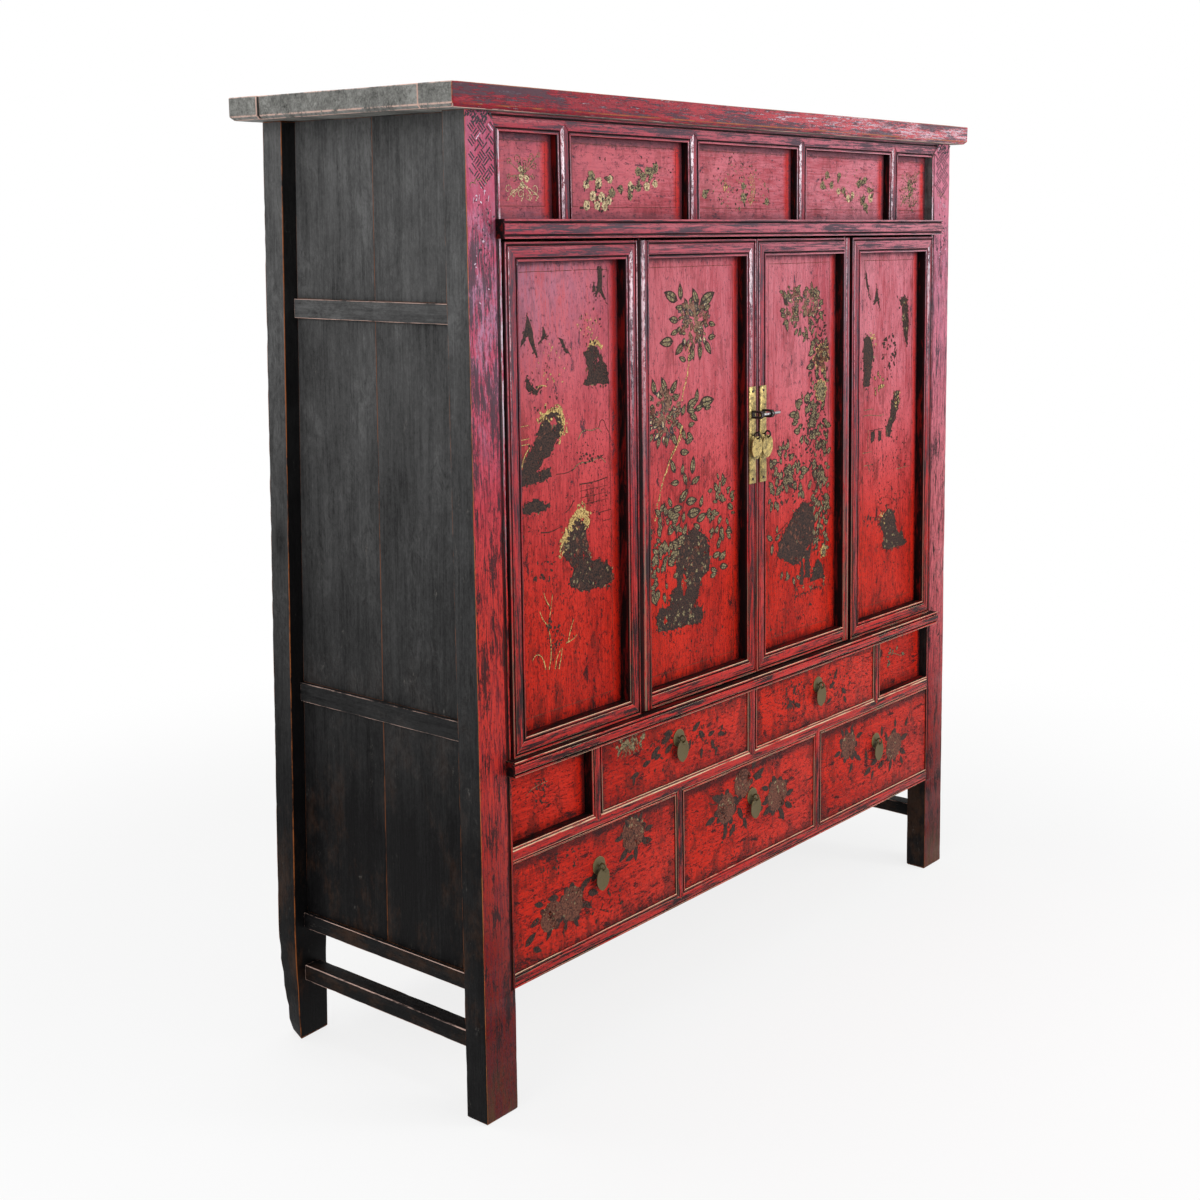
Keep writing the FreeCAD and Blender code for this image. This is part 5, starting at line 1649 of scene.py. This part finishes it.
def little_tree(work):
    for places in ([(-592, 760), (-586, 782), (-586, 812), (-590, 836), (-584, 862), (-578, 890)],
                   [(-576, 758), (-570, 778), (-560, 790)], [(-566, 756), (-560, 774), (-556, 792)],
                   [(-600, 762), (-610, 786), (-624, 792), (-634, 784)],
                   [(-590, 836), (-604, 850), (-612, 866)], [(-540, 800), (-530, 826), (-524, 836)],
                   [(-546, 798), (-526, 802), (-516, 808)], [(-586, 870), (-596, 884), (-600, 896)]):
        work.line(places, 2.6, "gilt", 0.5)
    work.each(work.dots, (-576, 818, (24, 26), 40, 6.0), (-590, 836, (8, 6), 6, 10.0),
        (-570, 880, (40, 30), 20, 3.6))


def right_panel(work):
    work.border([(446, 686), (656, 686), (644, 1432), (440, 1432)])
    work.each(work.rock,
        ([(444, 1412), (450, 1404), (458, 1378), (466, 1354), (454, 1370), (446, 1388)], "ink", 1.4),
        ([(478, 1338), (488, 1366), (492, 1382), (500, 1356), (508, 1326), (496, 1346)], "ink", 1.4),
        ([(590, 1346), (604, 1352), (622, 1350), (630, 1320), (632, 1280), (626, 1246), (612, 1270),
            (604, 1300), (602, 1326)],),
        ([(440, 1268), (458, 1276), (476, 1262), (482, 1236), (474, 1200), (466, 1168), (442, 1166)],))
    work.dots(470, 1262, (24, 20), 26, 6.0, "gilt")
    work.each(work.cluster, (502, 1170, (20, 16), 14, 12, "gilt"), (552, 1240, (26, 44), 16, 12, "ink"))
    work.dots(550, 1230, (32, 52), 40, 7.0)
    work.rock([(562, 1128), (578, 1150), (592, 1148), (596, 1122), (582, 1096), (566, 1074), (556, 1050),
        (540, 1052), (538, 1076), (556, 1094)])
    work.dots(586, 1130, (10, 22), 12, 6.0, "gilt")
    for places in ([(444, 1106), (470, 1106), (500, 1102), (530, 1102)], [(446, 1118), (484, 1118)],
                   [(442, 1026), (480, 1026)], [(448, 998), (480, 998)], [(588, 976), (636, 978)],
                   [(464, 1074), (464, 1030)], [(468, 998), (470, 980)]):
        work.line(places, 1.6, "olive", 0.7)
    work.each(work.rock,
        ([(474, 1070), (492, 1070), (490, 1048), (476, 1046)], "ink", 1.4),
        ([(506, 1070), (522, 1068), (520, 1046), (508, 1048)], "ink", 1.4))
    work.line([(468, 1072), (526, 1072)], 1.4, "ink", 1.0)
    work.each(work.dots, (500, 985, (50, 40), 30, 5.0), (600, 1010, (34, 60), 40, 5.0),
        (560, 915, (70, 34), 70, 5.0), (480, 880, (34, 16), 22, 7.0))
    work.rock([(516, 862), (534, 884), (560, 892), (580, 880), (588, 854), (596, 836), (606, 830), (616, 838),
        (624, 818), (640, 804), (620, 800), (560, 800), (534, 804), (528, 816), (540, 826), (530, 846)])
    work.each(work.dots, (528, 874, (16, 12), 16, 6.0, "gilt"), (560, 770, (60, 20), 16, 5.0))


class CABINET_OT_panel_painting(bpy.types.Operator):
    """Hills, rocks, a pavilion and a small tree on the lift-out panels"""
    bl_idname = "cabinet.panel_painting"
    bl_label = "Painting on the panels"

    def execute(self, context):
        paint("painting_of_panel_left", "panel_board_left", "panel_left", left_panel)
        paint("painting_of_panel_right", "panel_board_right", "panel_right", right_panel)
        return {"FINISHED"}


def roses(work, places, tone):
    for x, z in places:
        work.rose(x, z, work.between(7.0, 10.0), tone)
        if work.chance.random() < 0.6:
            work.leaf(x, z, 17, work.between(0, 360), "olive")


def scroll_spray(work, shift, tone):
    """Four small blossoms with scrolls that curl away above and below them."""
    for x, z in ((-627, 1594), (-626, 1582), (-613, 1579), (-623, 1569)):
        work.rose(x + shift, z, 6.0, tone)
    for x, z, size, angle in ((-635, 1609, 9, -60), (-601, 1614, 8, 200), (-594, 1601, 9, 90),
                              (-654, 1605, 6, 0), (-618, 1604, 6, 250), (-583, 1618, 5, 200),
                              (-655, 1581, 5, 30), (-642, 1580, 6, 250), (-596, 1582, 5, 100)):
        work.curl(x + shift, z, size, angle, 1.5, "olive")
        work.stem([(x + shift, z), (-622 + shift, 1586)], 2.6, "olive")
    for x, z, size, angle in ((-658, 1562, 9, 300), (-644, 1555, 7, 30), (-628, 1555, 7, 60),
                              (-594, 1563, 9, 240), (-610, 1551, 7, 120)):
        work.curl(x + shift, z, size, angle, 1.6, tone)
    for x, z in ((-660, 1544), (-646, 1549), (-628, 1543), (-606, 1544), (-592, 1544)):
        work.stem([(x + shift, z), (x + shift + 6, z + 8), (-622 + shift, 1572)], 3.0, tone)


def frieze(work):
    for corners in ([(-690, 1536), (-570, 1536), (-566, 1638), (-684, 1638)],
                    [(-500, 1536), (-214, 1536), (-214, 1638), (-500, 1638)],
                    [(-144, 1536), (144, 1536), (144, 1638), (-144, 1638)],
                    [(214, 1536), (500, 1536), (500, 1638), (214, 1638)],
                    [(570, 1536), (690, 1536), (684, 1638), (566, 1638)]):
        work.border(corners, 0.8, "umber")
    scroll_spray(work, 0, "cream")
    scroll_spray(work, 1252, "olive")
    bright = [(-464, 1572), (-400, 1582), (-447, 1555), (-423, 1552), (-464, 1538), (-436, 1539),
             (-415, 1538), (-404, 1547), (-344, 1571), (-298, 1572), (-274, 1577), (-431, 1576)]
    faded = [(-450, 1587), (-395, 1559), (-371, 1566), (-322, 1569), (-296, 1599), (-322, 1597), (-273, 1603),
             (-346, 1555), (-308, 1588), (-286, 1592)]
    roses(work, bright, "cream")
    roses(work, faded, "olive")
    roses(work, [(294, 1604), (340, 1603), (276, 1583), (310, 1584), (440, 1596), (418, 1589), (457, 1577),
        (432, 1554), (445, 1542), (359, 1574)], "olive")
    roses(work, [(337, 1573), (375, 1559), (393, 1566), (464, 1560)], "cream")
    for radius in (26, 31, 36):
        arc = [(radius * math.cos(t), 1572 + radius * math.sin(t)) for t in (-1.0, -0.5, 0.0, 0.5, 0.9)]
        work.line(arc, 1.8, "gilt", 0.6)
    roses(work, [(-2, 1577), (1, 1556), (-126, 1562), (77, 1550)], "olive")
    work.each(work.dots, (-56, 1576, (10, 12), 10, 6.0, "gilt"), (-10, 1574, (90, 44), 110, 5.0, "olive"),
        (-10, 1590, (110, 50), 60, 5.0), (-330, 1600, (120, 30), 30, 4.0),
        (370, 1580, (110, 44), 60, 4.5, "olive"), (628, 1582, (40, 44), 70, 5.0),
        (632, 1566, (36, 30), 24, 5.0, "olive"))


class CABINET_OT_frieze_painting(bpy.types.Operator):
    """Small gilt sprays on the frieze boards"""
    bl_idname = "cabinet.frieze_painting"
    bl_label = "Painting on the frieze"

    def execute(self, context):
        paint("painting_of_frieze", "frieze_boards", "cabinet", frieze)
        return {"FINISHED"}


def dark_leaves(work, places):
    for x, z, length, angle in places:
        work.stamp("leaf", x, z, length, length * 0.42, angle, "ink")


def grasses(work, places, tone):
    for x, z in places:
        for lean in (-22, -8, 8, 22):
            work.line([(x, z), (x + lean * 0.5, z - 18), (x + lean, z - 30)], 1.4, tone, 0.4)


def fixed_boards(work):
    work.each(work.line,
        ([(-632, 572), (-616, 566), (-622, 552), (-608, 546), (-618, 530), (-604, 524)], 2.2, "ink"),
        ([(-600, 562), (-640, 558), (-656, 550)], 1.4, "olive"))
    work.dots(-620, 546, (22, 26), 24, 6.0)
    work.cluster(600, 548, (36, 18), 10, 14)
    work.line([(570, 560), (600, 552), (630, 540)], 1.8, "olive")


def upper_left_drawer(work):
    work.dots(-395, 582, (40, 10), 30, 12.0, "olive")
    grasses(work, [(-398, 590), (-388, 590), (-374, 590), (-410, 590)], "olive")
    dark_leaves(work, [(-300, 560, 34, 14), (-262, 572, 30, 172), (-330, 536, 34, 40), (-288, 538, 30, 28),
        (-300, 540, 22, 200), (-356, 530, 26, 10), (-366, 520, 26, 190), (-380, 520, 22, 260),
        (-200, 560, 30, 30), (-180, 556, 26, 320), (-206, 546, 22, 250), (-150, 540, 24, 10),
        (-140, 528, 24, 300), (-170, 520, 22, 260), (-118, 536, 24, 350), (-120, 512, 20, 250)])
    work.each(work.dots, (-300, 540, (70, 34), 44, 7.0), (-150, 535, (60, 32), 40, 7.0))


def upper_right_drawer(work):
    work.dots(150, 552, (44, 34), 80, 7.0)
    dark_leaves(work, [(150, 556, 22, 60), (146, 540, 24, 200), (160, 536, 22, 320), (290, 540, 26, 20),
        (310, 556, 24, 60), (340, 530, 26, 320), (350, 510, 22, 300), (300, 516, 22, 200)])
    work.dots(320, 540, (60, 34), 60, 6.0)


def lower_left_drawer(work):
    work.smooth_blossom(-384, 408, 34)
    dark_leaves(work, [(-418, 410, 24, 182), (-352, 406, 26, 4), (-362, 386, 34, 350), (-402, 384, 34, 215),
        (-386, 366, 26, 190), (-380, 382, 30, 270), (-400, 424, 22, 120), (-370, 424, 24, 60)])
    work.each(work.smooth_blossom, (-566, 330, 36), (-620, 322, 28))
    dark_leaves(work, [(-600, 352, 30, 170), (-640, 350, 26, 160), (-650, 330, 28, 200), (-540, 350, 34, 20),
        (-520, 336, 32, 340), (-530, 320, 28, 320), (-580, 300, 26, 250), (-620, 300, 24, 230),
        (-560, 300, 24, 300), (-690, 290, 34, 30), (-670, 280, 26, 330), (-510, 352, 34, 40)])
    work.line([(-500, 340), (-470, 344), (-440, 348), (-430, 356)], 2.4, "ink")
    work.each(work.dots, (-470, 300, (60, 26), 40, 7.0), (-590, 410, (70, 24), 40, 6.0))


def lower_centre_drawer(work):
    work.each(work.smooth_blossom, (-90, 374, 34), (-32, 414, 30), (92, 356, 38))
    dark_leaves(work, [(-104, 398, 38, 160), (-128, 366, 34, 190), (-60, 372, 30, 40), (-50, 366, 34, 300),
        (-90, 340, 30, 250), (-30, 340, 30, 290), (-60, 336, 32, 230), (0, 350, 24, 20), (8, 410, 40, 24),
        (4, 420, 34, 340), (0, 432, 30, 60), (-6, 396, 28, 320), (60, 376, 28, 160), (70, 336, 34, 200),
        (100, 324, 36, 300), (120, 330, 34, 330), (124, 346, 30, 10), (60, 350, 26, 180), (40, 344, 24, 200)])
    work.line([(-150, 402), (-128, 394), (-100, 402)], 2.4, "ink")
    work.each(work.dots, (-70, 330, (60, 30), 30, 6.0), (110, 320, (60, 20), 30, 6.0))


def lower_right_drawer(work):
    work.smooth_blossom(372, 392, 34)
    dark_leaves(work, [(404, 404, 28, 10), (340, 386, 28, 190), (396, 376, 28, 300), (380, 420, 24, 60),
        (352, 418, 24, 120), (406, 362, 26, 320), (390, 350, 26, 240)])
    work.smooth_blossom(570, 344, 36)
    dark_leaves(work, [(516, 378, 28, 92), (540, 362, 26, 110), (600, 352, 34, 10), (596, 330, 34, 330),
        (560, 314, 30, 250), (530, 320, 34, 200), (500, 330, 32, 190), (470, 318, 34, 200),
        (450, 340, 26, 100), (480, 310, 24, 250), (620, 378, 26, 60), (576, 386, 24, 95),
        (600, 312, 26, 300)])
    work.line([(440, 350), (470, 336), (520, 330), (560, 336)], 2.2, "ink")
    work.dots(560, 330, (80, 40), 50, 6.0)


class CABINET_OT_drawer_painting(bpy.types.Operator):
    """Flowers and dark leaves on the drawer fronts and fixed boards"""
    bl_idname = "cabinet.drawer_painting"
    bl_label = "Painting on the drawers"

    def execute(self, context):
        paint("painting_of_fixed_boards", "row_panels", "cabinet", fixed_boards)
        drawings = (upper_left_drawer, upper_right_drawer, lower_left_drawer, lower_centre_drawer,
                    lower_right_drawer)
        for drawer, drawing in zip(DRAWERS, drawings):
            paint(f"painting_of_{drawer}", f"drawer_front_{drawer}", f"drawer_{drawer}", drawing)
        return {"FINISHED"}


FRET_CELL = 15.0
FRET_MIDDLE = (736, 1612)
FRET_X = (706, 761)
FRET_Z = (1562, 1668)
DIAGONAL = 0.7071


def strokes(work, x, z, angle):
    """Three short strokes side by side that slant one way."""
    across = Vector((-math.sin(math.radians(angle)), math.cos(math.radians(angle))))
    for step in (-1, 0, 1):
        length = FRET_CELL * work.between(0.75, 1.0)
        place = Vector((x, z)) + across * FRET_CELL * step / 3
        # Now and then a pale stroke, a painted glint.
        tone = "pale" if work.chance.random() < 0.03 else "soot"
        if work.chance.random() < 0.9:
            work.stamp("bar", place.x, place.y, length, 2.3, angle, tone)


def fret(work, sign):
    """Slanting strokes in a chequer, curls under them and specks round about."""
    for row in range(-8, 9):
        for column in range(-8, 9):
            x = FRET_MIDDLE[0] + (column - row) * FRET_CELL * DIAGONAL
            z = FRET_MIDDLE[1] + (column + row) * FRET_CELL * DIAGONAL
            low = FRET_Z[0] + abs(x - FRET_MIDDLE[0]) * 0.5
            if FRET_X[0] < x < FRET_X[1] and low < z < FRET_Z[1]:
                strokes(work, sign * x, z, 45.0 if (row + column) % 2 else -45.0)
    for x, z in ((761, 1572), (750, 1577), (738, 1582), (726, 1579)):
        work.curl(sign * x, z - 8, 8, 40 if sign < 0 else 140, 1.6, "olive", 0.5)
    # Short pale strokes and pale specks are painted glints.
    for x, z in ((757, 1548), (749, 1551), (744, 1552), (723, 1551), (732, 1560)):
        work.line([(sign * x, z), (sign * (x + 2), z - 9)], 1.6, "pale", 0.6)
    work.each(work.dots, (sign * 742, 1672, (28, 14), 90, 5.0, "soot"),
        (sign * 738, 1500, (26, 60), 50, 4.0, "soot"), (sign * 738, 1460, (26, 110), 22, 4.0, "pale"))


class CABINET_OT_leg_fret(bpy.types.Operator):
    """Worn key fret at the tops of the front legs"""
    bl_idname = "cabinet.leg_fret"
    bl_label = "Fret on the legs"

    def execute(self, context):
        for side, sign in (("left", -1), ("right", 1)):
            paint(f"fret_of_{side}_leg", f"leg_front_{side}", "cabinet", lambda work: fret(work, sign))
        return {"FINISHED"}


FLOOR_WIDTH = 60.0
LIGHTS = {  # where each lamp stands, where it points, and its width and height, in metres
    "key": ((0.6, -3.6, 3.0), (0.1, 0.0, 0.9), (2.6, 2.0)),
    "fill": ((-3.8, -0.6, 2.6), (-0.3, 0.0, 0.9), (2.2, 2.2)),
    "sheen": ((3.2, -3.7, 2.3), (-0.5, 0.0, 1.5), (1.3, 1.3)),
    "glint": ((1.9, -3.7, 1.85), (-0.5, 0.0, 1.5), (0.9, 1.2)),
    "top": ((-0.5, 1.0, 4.6), (0.0, 0.0, 0.0), (1.8, 1.8)),
}


class CABINET_OT_stage(bpy.types.Operator):
    """Floor, room, lights and camera"""
    bl_idname = "cabinet.stage"
    bl_label = "Stage"

    def execute(self, context):
        stage = context.scene.cabinet_stage
        colours = context.scene.cabinet_colours
        self.floor(colours, stage)
        self.room(context, stage)
        for name, (place, target, size) in LIGHTS.items():
            self.light(f"{name}_light", place, target, size, getattr(stage, f"{name}_power"))
        self.camera(context, stage)
        context.scene.view_settings.view_transform = "Standard"
        return {"FINISHED"}

    def floor(self, colours, stage):
        """Pale floor that keeps the shadow near the object and is seen as pure white further off."""
        deselect_all()
        bpy.ops.mesh.primitive_plane_add(size=FLOOR_WIDTH)
        floor = added("studio_floor")
        finish = Finish("studio_floor")
        x, y, _ = finish.split(finish.place())
        away = (x * x + y * y) ** 0.5
        haze = finish.noise(finish.place(), 1.5, 2.0) * 0.02 + 0.5
        finish.surface(Base_Color=colours.floor, Roughness=haze, Specular_IOR_Level=0.0)
        glow = finish.node("ShaderNodeEmission", None, {"Color": (1.0, 1.0, 1.0), "Strength": 1.0})
        share = finish.seen() * (away.rise(1.2, 2.6) * (1.0 - stage.floor_glow) + stage.floor_glow)
        mix = finish.node("ShaderNodeMixShader", None, {0: share, 1: finish.shader.outputs[0],
                                                        2: glow.outputs[0]})
        output = finish.tree.nodes["Material Output"]
        finish.tree.links.new(mix.outputs[0], output.inputs["Surface"])
        floor.data.materials.append(finish.material)

    def room(self, context, stage):
        """White where it is seen or mirrored, and a plain level of light on everything else."""
        world = bpy.data.worlds.new("studio_room")
        context.scene.world = world
        world.use_nodes = True
        world.node_tree.nodes.clear()
        room = Nodes(world.node_tree)
        level = room.node("ShaderNodeMapRange", None,
                          {"Value": room.seen(), "To Min": stage.world_level, "To Max": 1.0})
        back = room.node("ShaderNodeBackground", None,
                         {"Color": (1.0, 1.0, 1.0), "Strength": level.outputs["Result"]})
        room.node("ShaderNodeOutputWorld", None, {"Surface": back.outputs[0]})

    def light(self, name, place, target, size, power):
        data = bpy.data.lights.new(name, "AREA")
        data.shape = "RECTANGLE"
        data.size, data.size_y = size
        data.energy = power
        lamp = bpy.data.objects.new(name, data)
        bpy.context.scene.collection.objects.link(lamp)
        lamp.location = place
        lamp.rotation_euler = (Vector(target) - Vector(place)).to_track_quat("-Z", "Y").to_euler()

    def camera(self, context, stage):
        data = bpy.data.cameras.new("photo_camera")
        data.lens = stage.camera_lens
        data.sensor_width = 36.0
        camera = bpy.data.objects.new("photo_camera", data)
        context.scene.collection.objects.link(camera)
        heading, dip, roll = stage.camera_heading, stage.camera_dip, stage.camera_roll
        level = Vector((math.sin(heading), math.cos(heading), 0.0))
        forward = level * math.cos(dip) - Vector((0.0, 0.0, math.sin(dip)))
        right = Vector((math.cos(heading), -math.sin(heading), 0.0))
        up = right.cross(forward)
        level_right = right * math.cos(roll) + up * math.sin(roll)
        level_up = up * math.cos(roll) - right * math.sin(roll)
        turn = Matrix((level_right, level_up, -forward)).transposed()
        camera.matrix_world = Matrix.Translation(Vector(stage.camera_place)) @ turn.to_4x4()
        context.scene.camera = camera


class CABINET_PT_panel(bpy.types.Panel):
    """The cabinet's sizes, colours and steps"""
    bl_label = "Wedding cabinet"
    bl_idname = "CABINET_PT_panel"
    bl_space_type = "VIEW_3D"
    bl_region_type = "UI"
    bl_category = "Cabinet"

    def draw(self, context):
        scene = context.scene
        for group in (scene.cabinet_sizes, scene.cabinet_colours, scene.cabinet_stage):
            for name in group.bl_rna.properties.keys():
                if name not in ("rna_type", "name"):
                    self.layout.prop(group, name)
        for step in STEPS:
            self.layout.operator(step.bl_idname)


STEPS = (CABINET_OT_finishes, CABINET_OT_legs, CABINET_OT_top, CABINET_OT_front_members, CABINET_OT_doors,
         CABINET_OT_boards, CABINET_OT_sides, CABINET_OT_inside, CABINET_OT_lock, CABINET_OT_pulls,
         CABINET_OT_door_painting, CABINET_OT_panel_painting, CABINET_OT_frieze_painting,
         CABINET_OT_drawer_painting, CABINET_OT_leg_fret, CABINET_OT_stage)
GROUPS = (CabinetSizes, CabinetColours, CabinetStage)


def register():
    for kind in (*GROUPS, *STEPS, CABINET_PT_panel):
        bpy.utils.register_class(kind)
    bpy.types.Scene.cabinet_sizes = PointerProperty(type=CabinetSizes)
    bpy.types.Scene.cabinet_colours = PointerProperty(type=CabinetColours)
    bpy.types.Scene.cabinet_stage = PointerProperty(type=CabinetStage)


def unregister():
    del bpy.types.Scene.cabinet_sizes
    del bpy.types.Scene.cabinet_colours
    del bpy.types.Scene.cabinet_stage
    for kind in reversed((*GROUPS, *STEPS, CABINET_PT_panel)):
        bpy.utils.unregister_class(kind)


def main():
    register()
    bpy.ops.cabinet.finishes()
    make_shapes(bpy.context.scene.cabinet_sizes.paint_relief)
    for step in STEPS[1:]:
        section, name = step.bl_idname.split(".")
        getattr(getattr(bpy.ops, section), name)()
    clear_shapes()


if __name__ == "__main__":
    main()
